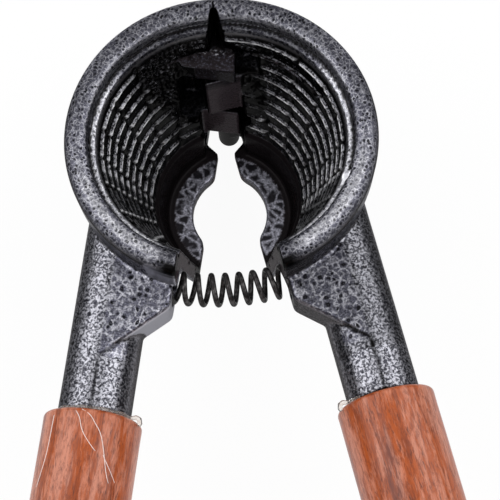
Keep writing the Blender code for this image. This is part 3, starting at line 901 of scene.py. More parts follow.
@dataclass
class Jaw:
    """One cast half: funnel, web, arm, tang and its share of the hinge barrel."""

    place: HalfFrame
    finish: Hammertone
    grain: float = 0.34
    mouth_radius: float = 30.0
    mouth_centre: Point = (-3.47, -21.75)
    throat_radius: float = 15.1
    throat_centre: Point = (-6.16, -21.2)
    depth: float = 44.0
    floor: float = 3.0
    hole_radius: float = 9.74
    lobe_round: float = 3.0
    wall: float = 3.2
    lip_round: float = 2.35
    skirt: float = 8.5
    skirt_chamfer: float = 2.0
    groove_depth: float = 4.2
    lip_squash: float = 0.62
    groove_height: float = 0.5
    groove_cut: float = 0.25
    groove_width: float = 0.25
    band_step: float = 1.1
    band_rise: float = 0.45
    band_inner: float = 23.95
    courses: int = 10
    course_pitch: float = 3.4
    first_ledge: float = 6.8
    face: float = 0.15
    rear_setback: float = 2.05
    rear_tip: Point = (1.25, 6.1)
    rear_edge_round: float = 0.6
    rear_start: float = -6.8
    stop_face: float = 0.01
    pin_bore: float = 2.6
    knuckle_top: float = 10.4
    cap: float = 0.9
    first_joint: float = 16.0
    second_joint: float = 31.2
    knuckle_end: float = 42.3
    knuckle_gap: float = 0.4
    knuckle_radius: float = 3.7
    knuckle_front: float = 3.65
    knuckle_window: float = 3.85
    window_back: float = 4.1
    notch_foot: float = 10.2
    slot_top: float = 35.5
    slot_front: float = -9.6
    slot_slope: tuple[Point, ...] = ((0.15, -8.0), (0.45, -7.75), (2.7, -6.15))
    slot_bend: float = -5.5
    slot_sides: Point = (3.0, 2.85)
    slot_splay: Point = (0.05, 0.0)
    slot_backs: Point = (4.1, -3.3)
    swing_clearance: float = 0.4
    pocket_width: float = 8.1
    pocket_back: float = 1.2
    boss_half_width: float = 9.5
    boss_rear: float = 7.6
    boss_round: float = 7.0
    arm_radius: float = 7.15
    arm_offset: float = 13.73
    arm_toe_in: float = math.radians(0.74)
    arm_axis: float = 15.0
    arm_root: float = 21.0
    arm_end: float = 78.0
    tang_radius: float = 4.0
    tang_length: float = 80.0
    web_top: float = 8.0
    web_thickness: float = 8.8
    web_setback: float = 0.8
    web_inner: float = -55.8
    web_outer: float = -67.2
    web_round: float = 0.9
    spring_circle: float = 50.4
    spring_depth: float = 12.2
    seat_radius: float = 3.75
    seat_end: float = 8.3
    reach: float = 40.0

    def wall_radius(self, depth: float | Array) -> float | Array:
        """Mean inner radius of the funnel at a depth below the lip's top.

        Args:
            depth: depth below the lip's top.

        Returns:
            The radius.
        """
        top = self.mouth_radius - 2.0 * self.lip_round - self.band_step
        part = (depth - self.lip_round) / (self.depth - self.lip_round)
        return top + (self.throat_radius - top) * part

    @property
    def front_reach(self) -> float:
        """How far the barrel's flat front runs past the pin, more on the left half."""
        return self.knuckle_radius + (0.5 if self.place.side is Side.LEFT else 0.0)

    @property
    def slot_corner(self) -> Point:
        """Side of the slot beside the pin and its end behind the pin, unlike on the two halves."""
        half = self.place.side is Side.RIGHT
        return self.slot_sides[half], self.slot_backs[half]

    def centre(self, z: float) -> Point:
        """Local (x, y) of the funnel's centre at a level.

        Args:
            z: the level.

        Returns:
            The centre.
        """
        part = min(max((-z - self.lip_round) / (self.depth - self.lip_round), 0.0), 1.1)
        w, v = (a + (b - a) * part for a, b in zip(self.mouth_centre, self.throat_centre))
        return self.place.sign * w, v

    def plan(self, points: list[Point]) -> list[Point]:
        """Local (x, y) points from (w, v) points."""
        return [(self.place.sign * w, v) for w, v in points]

    def block(self, w: Point, v: Point, z: Point) -> Mesh:
        """An upright box between two distances from the parting plane."""
        outline = [(w[0], v[0]), (w[1], v[0]), (w[1], v[1]), (w[0], v[1])]
        return prism(self.plan(outline), z[0], z[1])

    def outer_profile(self) -> list[Point]:
        """Outside of the funnel, top to bottom.

        Returns:
            The (radius, z) points.
        """
        shelf = self.skirt + self.skirt_chamfer
        base = self.depth + self.floor
        middle = (self.mouth_radius - self.lip_round, -self.lip_round)
        profile = arc(middle, self.lip_round, 90.0, 0.0, 10)
        profile.append((self.mouth_radius, -self.skirt))
        profile.append((self.wall_radius(shelf) + self.wall, -shelf))
        profile.append((self.wall_radius(base) + self.wall, -base))
        return profile

    def course_profile(self) -> list[Point]:
        """Inside of the funnel, top to bottom, with a ledge at the foot of each course.

        Returns:
            The (radius, z) points.
        """
        middle = self.mouth_radius - self.lip_round
        overlap = 0.03
        rim = [(r, self.lip_squash * z) for r, z in
               arc((middle - overlap, -self.lip_round), self.lip_round, 90.0, 180.0, 10)]
        profile = [(middle - overlap, self.lip_round), (middle - overlap, -overlap)] + rim[1:]
        groove = self.mouth_radius - 2.0 * self.lip_round
        profile.append((groove + self.groove_cut, self.groove_height - self.groove_depth))
        profile.append((groove, -self.groove_depth))
        profile.append((groove - self.groove_width, -self.groove_depth))
        profile.append((groove - self.groove_width - 0.05, self.band_rise - self.groove_depth))
        profile.append((self.band_inner + 0.2, self.band_rise - self.groove_depth - 0.1))
        profile.append((self.band_inner, -self.groove_depth - 0.3))
        half_ledge = 0.5 * (self.wall_radius(0.0) - self.wall_radius(self.course_pitch)) - 0.08
        for i in range(self.courses):
            ledge = self.first_ledge + i * self.course_pitch
            profile.append((self.wall_radius(ledge) + half_ledge, -ledge))
            profile.append((self.wall_radius(ledge) - half_ledge, -ledge - 0.12))
        profile.append((self.throat_radius, -self.depth))
        return profile

    def corner_round(self, direction: int) -> list[Point]:
        """Arc between the floor's hole and the parting face.

        Args:
            direction: +1 for the corner towards the hinge and -1 for the other.

        Returns:
            The (w, v) points from the hole to the face.
        """
        along = self.face + self.lobe_round - self.throat_centre[0]
        across = math.sqrt((self.hole_radius + self.lobe_round) ** 2 - along ** 2)
        middle = (self.face + self.lobe_round, self.throat_centre[1] + direction * across)
        start = math.degrees(math.atan2(-direction * across, -along))
        return arc(middle, self.lobe_round, start, math.copysign(180.0, start), 8)

    def floor_opening(self) -> list[Point]:
        """Plan of the fragments' way out, rounded at both lobes.

        Returns:
            Its local points.
        """
        rear, front = self.corner_round(1), self.corner_round(-1)
        angle = math.degrees(math.atan2(rear[0][1] - self.throat_centre[1],
                                        rear[0][0] - self.throat_centre[0]))
        hole = arc(self.throat_centre, self.hole_radius, angle, -angle, 24)
        back = -self.reach
        ends = [(back, rear[-1][1])], [(back, front[-1][1])]
        return self.plan(ends[0] + rear[::-1] + hole[1:-1] + front + ends[1])

    def foot_slot(self) -> list[Point]:
        """Plan of the slot through the floor beside the pin, sloped behind each lobe.

        Returns:
            Its local points.
        """
        side, back = self.slot_corner
        far = -self.reach
        slope = [*self.slot_slope, (side, self.slot_bend)]
        slope.append((side + self.slot_splay[self.place.side is Side.RIGHT], back))
        return self.plan([(far, slope[0][1])] + slope + [(far, back)])

    def rear_notch(self) -> list[Point]:
        """Plan of the notch above the hinge, which closes to a tip at the lip's rear.

        Returns:
            Its local points.
        """
        start = self.rear_start - 1.0
        points = [(-self.reach, start), (self.rear_setback, start), (self.rear_setback, 0.3)]
        points += [self.rear_tip, (-self.reach, self.rear_tip[1])]
        return self.plan(points)

    def knuckle_outline(self) -> list[Point]:
        """Plan of the hinge barrel, flat in front and round behind the pin.

        Returns:
            Its local points.
        """
        root = self.boss_half_width - 0.3
        points = [(root, -self.knuckle_front), (-self.front_reach, -self.knuckle_front)]
        points.append((-self.front_reach, 0.6 - self.knuckle_front))
        points += arc((0.0, 0.0), self.knuckle_radius, 180.0, 90.0, 12)
        points.append((root, self.knuckle_radius))
        return self.plan(points)

    def boss_outline(self) -> list[Point]:
        """Plan of the thickening round the hinge, with a rounded rear corner.

        Returns:
            Its local points.
        """
        points = [(0.0, self.rear_start - 2.0), (self.boss_half_width, self.rear_start - 2.0)]
        middle = (self.boss_half_width - self.boss_round, self.boss_rear - self.boss_round)
        points += arc(middle, self.boss_round, 0.0, 90.0, 12)
        points.append((0.0, self.boss_rear))
        return self.plan(points)

    def arm_point(self, distance: float) -> Point:
        """(w, v) of a point on the arm's axis, by distance from the foot nearest the hinge.

        Args:
            distance: distance along the axis.

        Returns:
            The point.
        """
        w = self.arm_offset * math.cos(self.arm_toe_in) - distance * math.sin(self.arm_toe_in)
        v = -self.arm_offset * math.sin(self.arm_toe_in) - distance * math.cos(self.arm_toe_in)
        return w, v

    def web_outline(self) -> list[Point]:
        """Plan of the web, from the parting face to the arm's crown line.

        Returns:
            Its local points.
        """
        inside = self.mouth_centre[1] - self.throat_radius
        points = [(self.web_setback, inside), (self.web_setback, self.web_inner)]
        points.append((self.arm_point(-self.web_outer)[0], self.web_outer))
        points.append((self.arm_point(-inside)[0], inside))
        return self.plan(points)

    def arm_profile(self) -> list[Point]:
        """The arm from its rounded root to the tip of its tang, along its axis.

        Returns:
            The (radius, z) points.
        """
        middle = (0.0, self.arm_root + self.arm_radius)
        tip = self.arm_end + self.tang_length
        profile = [(0.0, self.arm_root)] + arc(middle, self.arm_radius, -90.0, 0.0, 10)[1:]
        profile += [(self.arm_radius, self.arm_end), (self.tang_radius, self.arm_end)]
        profile += [(self.tang_radius, tip - 0.8), (self.tang_radius - 0.8, tip), (0.0, tip)]
        return profile

    def arm_matrix(self) -> Matrix:
        """Frame whose Z axis runs along the arm's axis, away from the hinge, in millimetres.

        Returns:
            The frame.
        """
        w, v = self.arm_point(0.0)
        turn = Euler((math.radians(90.0), 0.0, -self.place.sign * self.arm_toe_in)).to_matrix()
        return Matrix.Translation((self.place.sign * w, v, -self.arm_axis)) @ turn.to_4x4()

    def reliefs(self) -> list[Point]:
        """Depth ranges where the other half's knuckles turn inside this half.

        Returns:
            The (top, bottom) depths of each range.
        """
        half_gap = 0.5 * self.knuckle_gap
        if self.place.side is Side.LEFT:
            return [(self.first_joint - half_gap, self.second_joint + half_gap)]
        top = self.knuckle_top - self.knuckle_gap
        bottom = self.knuckle_end + self.knuckle_gap
        return [(top, self.first_joint + half_gap), (self.second_joint - half_gap, bottom)]

    @property
    def below(self) -> float:
        """A level a little under the whole half."""
        return -(self.depth + self.floor) - 1.0

    def form(self) -> Casting:
        """Joins the funnel's outside, the web, the arm and the boss.

        Returns:
            The casting, which has no openings yet.
        """
        casting = Casting(lathe(self.outer_profile(), 180, self.centre))
        web = prism(self.web_outline(), -(self.web_top + self.web_thickness), -self.web_top)
        casting.use(web, Blend.JOIN, rounding=self.web_round)
        casting.use(lathe(self.arm_profile(), 72), Blend.JOIN, self.arm_matrix())
        boss_top = -0.5 * (self.lip_round + self.skirt)
        casting.use(prism(self.boss_outline(), self.below + 1.0, boss_top), Blend.JOIN)
        return casting

    def open_funnel(self, casting: Casting) -> None:
        """Cuts the funnel, the parting face, the stop behind the pin and the hole in the floor.

        Args:
            casting: the half, which is changed.
        """
        span = (self.below, -self.below)
        casting.use(lathe(self.course_profile(), 180, self.centre), Blend.CUT)
        parting = self.block((-self.reach, self.face), (-2.0 * self.reach, self.rear_start), span)
        casting.use(parting, Blend.CUT)
        casting.use(prism(self.rear_notch(), -self.notch_foot, -self.below), Blend.CUT)
        stop = self.block((-self.reach, self.stop_face), (0.0, self.reach), span)
        casting.use(stop, Blend.CUT, Matrix.Rotation(-self.place.sign * OPENING, 4, 'Z'))
        casting.use(prism(self.floor_opening(), self.below, 1.0 - self.depth), Blend.CUT)

    def open_hinge(self, casting: Casting) -> None:
        """Makes room round the pin, for the knuckles to swing past each other.

        Args:
            casting: the half, which is changed.
        """
        foot = -(self.knuckle_end + self.knuckle_gap)
        window = self.block((-self.reach, self.knuckle_window), (self.rear_start, self.window_back),
                            (foot, -self.knuckle_top))
        casting.use(window, Blend.CUT)
        face = self.block((-self.reach, self.face), (self.rear_start - 1.0, self.window_back),
                          (self.below, foot + 0.1))
        casting.use(face, Blend.CUT)
        casting.use(prism(self.foot_slot(), self.below, -self.slot_top), Blend.CUT)
        side, back = self.slot_corner
        bay = self.block((-self.reach, side), (self.slot_front, back),
                         (-self.depth, -self.slot_top))
        casting.use(bay, Blend.CUT)

    def cast(self) -> Mesh:
        """The plain casting, with no relief on its walls.

        Returns:
            The closed mesh.
        """
        casting = self.form()
        self.open_funnel(casting)
        self.open_hinge(casting)
        casting.use(prism(self.knuckle_outline(), -self.knuckle_end, -self.knuckle_top), Blend.JOIN)
        swing = math.hypot(self.knuckle_radius + 0.5, self.knuckle_front) + self.swing_clearance
        for top, bottom in self.reliefs():
            casting.use(lathe([(swing, -bottom), (swing, -top)], 72), Blend.CUT)
            pocket = self.block((-self.reach, self.pocket_width),
                                (self.rear_start, self.pocket_back), (-bottom, -top))
            casting.use(pocket, Blend.CUT)
        cap = -self.knuckle_top - self.cap
        casting.use(lathe([(self.pin_bore, self.below), (self.pin_bore, cap)], 48), Blend.CUT)
        seat = lathe([(self.seat_radius, -self.reach), (self.seat_radius, self.seat_end)], 48)
        middle = Matrix.Translation((0.0, -self.spring_circle, -self.spring_depth))
        turn = Matrix.Rotation(self.place.sign * math.radians(90.0), 4, 'Y')
        casting.use(seat, Blend.CUT, middle @ turn)
        return casting.cast(self.grain, 2)

    def build(self) -> Item:
        """Casts and dresses the half.

        Returns:
            The piece, riding on its body.
        """
        mesh = self.cast()
        CastSkin(self, mesh).dress()
        word = self.place.word
        piece = set_piece(word + "_casting", mesh, self.place.matrix(), self.finish.material())
        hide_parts(self.place.word + "_jaw")
        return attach(piece, self.place.body)


@dataclass
class CastSkin:
    """Surface of one casting: where its vertices lie, their relief and their painted zones.

    Sizes are in millimetres. A window is the range over which a share steps from 0 to 1.
    """

    jaw: Jaw
    mesh: Mesh
    wall_window: Point = (1.1, 1.5)
    open_window: Point = (0.1, 0.35)
    top_window: Point = (5.2, 5.8)
    foot_window: Point = (36.4, 36.9)
    throat_top: float = 36.6
    hinge_window: Point = (-9.2, -7.6)
    hinge_top: Point = (5.6, 6.4)
    hinge_foot: Point = (29.5, 31.0)
    across_window: Point = (0.12, 0.4)
    crown_window: Point = (0.2, 0.75)
    crease_window: Point = (0.15, 0.5)
    dome_size: float = 1.3
    dome_depth: float = 0.06
    rough_size: float = 0.9
    rough_depth: float = 0.3
    column_depth: float = 0.34
    seam_depth: float = 0.26
    chip_depth: float = 0.3
    chip_ends: tuple[Point, Point] = ((15.7, -36.7), (18.5, -35.3))
    chip_width: float = 1.1
    chip_foot: float = 9.0
    chip_rim: float = 25.55
    column_foot: Point = (1.6, -63.0)
    column_start: float = math.radians(-9.9)
    column_step: float = math.radians(6.05)
    column_window: Point = (0.18, 0.55)
    tick_window: Point = (0.12, 0.3)
    tick_aside: float = 0.72
    dot_window: Point = (0.25, 0.6)
    front_border: Point = (-29.5, -33.4)
    border_slope: float = 0.188
    inner_roll: Point = (25.6, 26.4)
    roll_ends: Point = (-24.0, -16.0)
    crown_inner: Point = (26.0, 26.6)
    crown_outer: Point = (28.0, 28.6)
    outer_window: Point = (28.2, 29.2)
    rim_window: Point = (27.9, 28.8)
    floor_rim: Point = (14.2, 14.8)
    lip_places: tuple[float, ...] = (-45.0, -30.0, -20.0, -4.0, 6.0)
    lip_shades: tuple[float, ...] = (0.0, 0.1, 0.42, 0.56, 0.5)
    pin_shade: float = 0.85
    throat_shade: float = 0.8
    notch_shade: float = 0.9
    column_shade: float = 0.75
    seam_shade: float = 0.72
    knuckle_shades: tuple[Point, Point] = ((0.2, 1.0), (0.0, 0.93))
    rim_shade: float = 0.42
    lip_end_shade: float = 0.6
    groove_shade: float = 0.95
    band_shade: float = 0.75
    collar_shade: float = 0.85
    web_shade: float = 0.37
    parting_shade: float = 0.3
    # shares of painted highlight
    crown_highlight: float = 0.5
    band_highlight: float = 0.62
    roll_highlight: float = 0.25
    floor_highlights: Point = (0.8, 0.6)
    web_start: float = -40.0
    web_side_start: float = -50.0
    # share of painted light on the left web's side
    web_side_light: float = 0.75
    body_end: float = -56.0

    def __post_init__(self) -> None:
        """Measures where every vertex lies in the funnel and along the arm."""
        jaw = self.jaw
        self.left = jaw.place.side is Side.LEFT
        self.points, self.normals = vertex_arrays(self.mesh)
        self.x, self.y, self.z = self.points.T
        self.w = jaw.place.sign * self.x
        self.sideways, self.forward = np.abs(self.normals[:, 0]), np.abs(self.normals[:, 1])
        self.up = self.normals[:, 2]
        self.out = self.points[:, :2] - np.array([jaw.centre(level) for level in self.z])
        self.radius = np.hypot(self.out[:, 0], self.out[:, 1])
        self.arm = np.array(jaw.arm_matrix().inverted())
        self.along = self.points @ self.arm[2, :3] + self.arm[2, 3]
        self.aside = self.points @ self.arm[0, :3] + self.arm[0, 3]
        self.edge = np.interp(self.y, (0.3, jaw.rear_tip[1]), (jaw.rear_setback, jaw.rear_tip[0]))
        self.on_lip = self.y > jaw.mouth_centre[1] - jaw.mouth_radius
        self.on_lip &= self.z > -jaw.groove_depth
        self.flat_front = (np.abs(self.y + jaw.knuckle_front) < 0.35) & (self.forward > 0.5)
        self.flat_front &= (self.w < jaw.knuckle_window + 0.2) & (self.z < 0.3 - jaw.knuckle_top)
        self.courses = self.wall_share() * ~self.flat_front
        self.gripping = self.courses * (1.0 - eased(-self.z, *self.foot_window))
        self.chip = np.zeros(len(self.points)) if self.left else self.bare_wedge()

    def wall_share(self) -> Array:
        """How much each vertex belongs to the funnel's gripping wall.

        Returns:
            A number from 0 to 1 for each vertex.
        """
        radius = np.maximum(self.radius, 1e-6)
        near = 1.0 - eased(np.abs(radius - self.jaw.wall_radius(-self.z)), *self.wall_window)
        inward = -(self.out * self.normals[:, :2]).sum(1) / radius
        open_side = eased(np.maximum(inward, self.up), *self.open_window)
        return near * open_side * eased(-self.z, *self.top_window)

    def bare_wedge(self) -> Array:
        """Bare wedge that the broach left in the right half's band.

        Returns:
            A number from 0 to 1 for each vertex.
        """
        part, away = beside_line(self.w, self.y, *self.chip_ends)
        reach = self.chip_width * (0.45 + 0.55 * np.sin(math.pi * (0.2 + 0.7 * part)))
        middle = self.jaw.mouth_centre
        inner = np.hypot(self.w - middle[0], self.y - middle[1]) < self.chip_rim
        return (1.0 - eased(away, 0.7 * reach, reach)) * (self.z > -self.chip_foot) * inner

    def broached(self, points: Array, beside: float, window: Point) -> Array:
        """How deep vertices lie in the broached columns.

        Args:
            points: vertex positions in the half's frame.
            beside: distance from the groove's middle to one side.
            window: distances within which the number is 1 and beyond which it is 0.

        Returns:
            A number from 0 to 1 for each vertex.
        """
        turn = self.jaw.place.sign * OPENING
        y = points[:, 0] * math.sin(turn) + points[:, 1] * math.cos(turn)
        across, ahead = self.jaw.mouth_centre
        y = y - (ahead * math.cos(OPENING) - across * math.sin(OPENING)) - self.column_foot[0]
        z = points[:, 2] - self.column_foot[1]
        turns = (np.arctan2(y, z) - self.column_start) / self.column_step
        away = (turns - np.round(turns)) * self.column_step * np.hypot(y, z)
        return 1.0 - eased(np.abs(away - beside), *window)

    def columns(self) -> Array:
        """Broached columns, which run out in places.

        Returns:
            How deep each vertex lies in them, from 0 to 1.
        """
        patchy = [0.6 + 1.2 * noise.noise(Vector(point) * 0.5) for point in self.points]
        grooves = self.broached(self.points, 0.0, self.column_window)
        return grooves * self.gripping * np.clip(patchy, 0.0, 1.0)

    def rough(self) -> Array:
        """Uneven wall beside the hinge, most of all on the left half.

        Returns:
            A number from 0 to 1 for each vertex.
        """
        share = eased(self.y, *self.hinge_window) * self.courses * eased(-self.z, *self.hinge_top)
        return share * (1.0 - eased(-self.z, *self.hinge_foot)) * (1.0 if self.left else 0.35)

    def seam(self) -> Array:
        """Crown line of the arm and crease between web and arm.

        Returns:
            A number from 0 to 1 for each vertex.
        """
        jaw = self.jaw
        on_arm = eased(self.along, -jaw.web_outer - 1.0, -jaw.web_outer + 1.0)
        crown = (1.0 - eased(np.abs(self.aside), *self.crown_window)) * on_arm
        corner = (jaw.arm_point(-jaw.web_outer)[0], jaw.web_outer)
        away = beside_line(self.w, self.y, (jaw.web_setback, jaw.web_inner), corner)[1]
        crease = (1.0 - eased(away, *self.crease_window)) * eased(self.z, -10.0, -9.4)
        return np.maximum(crown, crease) * eased(self.up, 0.5, 0.8)

    def domes(self, size: float) -> Array:
        """Shallow domes of hammered lacquer.

        Args:
            size: distance between domes.

        Returns:
            Height from -0.5 to 0.5 for each vertex.
        """
        found = (noise.voronoi(Vector(point) / size)[0] for point in self.points)
        return np.array([min(d[1] - d[0], 0.5) for d in found]) * 2.0 - 0.5

    def raised(self, columns: Array, rough: Array, seam: Array) -> Array:
        """Presses the relief into the surface and keeps the stop's face flat.

        Args:
            columns: how deep each vertex lies in the broached columns.
            rough: share of the uneven wall.
            seam: share of the crown line and the crease.

        Returns:
            The new positions.
        """
        jaw, w, y, z = self.jaw, self.w, self.y, self.z
        upward = np.clip(self.up, 0.0, 1.0)
        levelled = (jaw.wall_radius(-z) - self.radius) * rough / np.maximum(self.radius, 1.0)
        inset = np.clip(jaw.rear_edge_round - (w - self.edge), 0.0, jaw.rear_edge_round)
        fall = jaw.rear_edge_round - np.sqrt(jaw.rear_edge_round ** 2 - inset ** 2)
        z -= np.where(self.on_lip & (y > -1.0) & (w < 4.0), fall, 0.0) * upward
        push = self.dome_depth * upward * (1.0 - self.courses) * self.domes(self.dome_size)
        push += self.rough_depth * rough * self.domes(self.rough_size) - self.seam_depth * seam
        push -= self.column_depth * columns * eased(self.sideways, *self.across_window)
        push -= self.chip_depth * self.chip
        self.points[:, :2] += self.out * levelled[:, None]
        points = self.points + self.normals * push[:, None]
        points[:, 2] = np.minimum(points[:, 2], 0.0)
        turn = jaw.place.sign * OPENING
        off = points[:, 0] * math.cos(turn) - points[:, 1] * math.sin(turn)
        facing = self.normals[:, 0] * math.cos(turn) - self.normals[:, 1] * math.sin(turn)
        meets = (y > jaw.rear_tip[1] - 1.0) & (np.abs(off) < 0.5) & (-jaw.place.sign * facing > 0.5)
        shift = np.where(meets, jaw.place.sign * jaw.stop_face - off, 0.0)
        points[:, 0] += shift * math.cos(turn)
        points[:, 1] -= shift * math.sin(turn)
        return points

    def hinge_zones(self, columns: Array, seam: Array) -> dict[str, Array]:
        """Machined zones round the hinge, and painted shade in its recesses.

        Args:
            columns: how deep each vertex lies in the broached columns.
            seam: share of the crown line and the crease.

        Returns:
            The zones "smooth", "spotted", "knuckle" and "shade".
        """
        jaw, w, y, z = self.jaw, self.w, self.y, self.z
        behind = y > jaw.rear_start
        near_pin = (w < jaw.pocket_width + 0.5) & (y > jaw.rear_start - 0.6)
        near_pin &= z < 0.6 - jaw.notch_foot
        barrel = near_pin & (w < jaw.knuckle_window) & (np.abs(y + jaw.knuckle_front) < 0.5)
        barrel &= (self.forward > 0.6) & (z > -jaw.knuckle_end - 0.6)
        knuckle = (w < jaw.boss_half_width) & (y < jaw.knuckle_radius + 0.3) & self.left
        knuckle &= (y > -jaw.knuckle_front - 0.3) & (z > -jaw.first_joint)
        knuckle &= z < 0.3 - jaw.knuckle_top
        knuckle &= (self.up > 0.5) | self.flat_front
        throat = (self.courses > 0.0) & (z < -self.throat_top)
        notch = behind & (w < self.edge + 0.35) & ((self.sideways > 0.5) | (z < -7.0))
        faces = (np.abs(w - jaw.face) < 0.5) & (self.sideways > 0.8)
        # painted shade near the pin, in the throat, the notch, the columns and the seam, on the
        # slot's sides, and on the first knuckle deep in the notch
        dark = self.pin_shade * near_pin + self.throat_shade * throat + self.notch_shade * notch
        dark = np.where(barrel, 0.0, dark) + self.column_shade * columns + self.seam_shade * seam
        dark = np.where(knuckle, np.interp(y, *self.knuckle_shades), dark)
        slot_side = (w < 5.0) & behind & (z < -jaw.notch_foot) & (self.sideways > 0.6)
        back_edge = 1.0 - eased(np.abs(y - 0.1), 0.4, 0.8)
        specks_and_shade = np.maximum(knuckle * (0.22 + 0.7 * back_edge),
                             0.15 * barrel * eased(z, -20.0, -17.0))
        return {"smooth": barrel | knuckle | throat | faces, "specks_and_shade": specks_and_shade, "knuckle": knuckle,
                "shade": dark + self.notch_shade * (slot_side & ~barrel)}

    def lip_zones(self) -> dict[str, Array]:
        """Lights and shades of the lip, its groove and the band inside it.

        Returns:
            The zones "rolled", "lift" and "shade".
        """
        jaw, y, z, radius = self.jaw, self.y, self.z, self.radius
        groove = jaw.mouth_radius - 2.0 * jaw.lip_round
        lip = self.on_lip & (radius > groove - 0.3) & (z > jaw.groove_height - jaw.groove_depth)
        inner_roll = lip * (1.0 - eased(radius, *self.inner_roll)) * eased(y, *self.roll_ends)
        dark = lip * np.interp(y, self.lip_places, self.lip_shades)
        dark *= (1.0 - 0.8 * eased(radius, *self.outer_window)) * (1.0 - 0.7 * inner_roll)
        rim = lip * eased(radius, *self.rim_window) * (z > -jaw.lip_round)
        dark += self.rim_shade * rim * eased(-y, 10.0, 18.0)
        lip_end = (1.0 - eased(self.w, 1.5, 5.5)) * (y < jaw.mouth_centre[1])
        dark += self.lip_end_shade * lip_end * (self.on_lip & (radius > jaw.band_inner - 0.2))
        in_groove = (np.abs(radius - groove + 0.5 * jaw.groove_width) < 0.3)
        in_groove &= (z < -3.5) & (z > -5.0)
        band = (radius < groove - jaw.groove_width + 0.1) & (z > -jaw.groove_depth - 0.6)
        band &= radius > jaw.band_inner - 0.2
        dark += self.groove_shade * in_groove + self.band_shade * band * eased(y, -15.0, -6.0)
        # painted highlight on the front of the lip's crown, on the band and on the inner roll
        front = lip * eased(-y, 28.0, 40.0) * eased(radius, *self.crown_inner)
        front = front * (1.0 - eased(radius, *self.crown_outer)) * (1.0 - lip_end)
        lit = band * (1.0 - eased(y, -15.0, -9.0)) * (1.0 - lip_end)
        rolled = (lip & (radius < jaw.mouth_radius - jaw.lip_round)) | band
        painted_highlight = self.crown_highlight * front + self.band_highlight * lit + self.roll_highlight * inner_roll
        return {"rolled": rolled * (1.0 - self.chip), "shade": dark, "painted_highlight": painted_highlight}

    def wall_zones(self, points: Array) -> dict[str, Array]:
        """Front part of the gripping wall, and painted glints along its border and beside the
        columns.

        Args:
            points: the new positions.

        Returns:
            The zones "front" and "nodes".
        """
        border = self.front_border[not self.left]
        border = border - self.border_slope * (self.z + self.jaw.first_ledge)
        faint = 0.9 * eased(self.y, -13.0, -9.5) * self.left
        glint_ticks = self.broached(points, self.tick_aside, self.tick_window)
        glint_dots = (1.0 - eased(np.abs(self.y - border - 0.3), *self.dot_window)) * (0.4 + 0.6 * glint_ticks)
        glint_ticks *= (0.7 if self.left else 0.3) * (1.0 - faint)
        courses = self.courses * (1.0 - self.chip)
        return {"front": np.maximum(eased(border - self.y, 0.0, 1.2), faint) * courses,
                "nodes": np.maximum(glint_dots, glint_ticks) * courses}

    def outer_zones(self, points: Array) -> dict[str, Array]:
        """Arm, web, outer wall and the funnel's floor.

        Args:
            points: the new positions.

        Returns:
            The zones "arm", "body", "pale", "wide", "floor", "lift" and "shade".
        """
        jaw, w, y, z = self.jaw, self.w, self.y, self.z
        from_hole = np.hypot(w - jaw.throat_centre[0], y - jaw.throat_centre[1])
        floor = (from_hole < jaw.throat_radius + 0.6) & (np.abs(z + jaw.depth) < 1.0)
        # painted highlight along the floor's outer rim and round its hole
        inner = 1.0 - eased(from_hole, jaw.hole_radius + 0.3, jaw.hole_radius + 0.8)
        outer = eased(from_hole, *self.floor_rim)
        rim = np.maximum(self.floor_highlights[0] * outer, self.floor_highlights[1] * inner)
        web = (y < self.web_start) & (z < -7.0) & (self.up > 0.4)
        web &= self.along < 2.0 - jaw.web_outer
        lifted = points @ self.arm[1, :3] + self.arm[1, 3]
        arm = np.abs(np.hypot(self.aside, lifted) - jaw.arm_radius) < 0.45
        arm &= (self.along > -jaw.web_outer) | (w > jaw.arm_point(60.0)[0]) | (self.up < 0.7)
        web_side = (y < self.web_side_start) & (self.up < 0.6) & (w < 12.0) & (z > -17.5) & ~arm
        body = (z < -3.0) & (y > self.body_end) & (self.radius > jaw.wall_radius(-z) + 1.6)
        body &= ~arm & ~web_side
        dark = self.collar_shade * eased(self.along, jaw.arm_end - 0.8, jaw.arm_end - 0.2)
        dark *= self.along < jaw.arm_end + 0.5
        if not self.left:
            parting = (y < self.web_start) & (self.sideways > 0.7) & (w < 3.0)
            dark += self.web_shade * web + self.parting_shade * parting
        # painted light: the left half's web side is drawn lighter
        return {"arm": eased(self.along, jaw.arm_root + 4.0, jaw.arm_root + 6.0) * arm,
                "body": (body | (self.up < -0.5)) * (1.0 - self.courses * (1.0 - self.chip)),
                "painted_light": web_side * (self.web_side_light if self.left else 0.0),
                "wide": web, "floor": floor, "painted_highlight": floor * rim, "shade": dark}

    def dress(self) -> None:
        """Gives the mesh its relief and paints the zones that the lacquer reads."""
        columns, rough, seam = self.columns(), self.rough(), self.seam()
        points = self.raised(columns, rough, seam)
        self.mesh.vertices.foreach_set("co", points.astype(np.float32).ravel())
        self.mesh.update()
        hinge, lip = self.hinge_zones(columns, seam), self.lip_zones()
        outer = self.outer_zones(points)
        shade = (hinge["shade"] + lip["shade"] + outer["shade"]) * (1.0 - self.chip)
        courses = self.gripping * (1.0 - self.chip) * ~hinge.pop("knuckle")
        zones = {**outer, **hinge, **lip, **self.wall_zones(points), "chip": self.chip,
                 "gaps": columns, "hinge_side": rough, "courses": courses,
                 "shade": np.clip(shade, 0.0, 1.0),
                 "painted_highlight": np.clip(lip["painted_highlight"] + outer["painted_highlight"], 0.0, 1.0)}
        for name, share in zones.items():
            paint(self.mesh, name, share.astype(float))


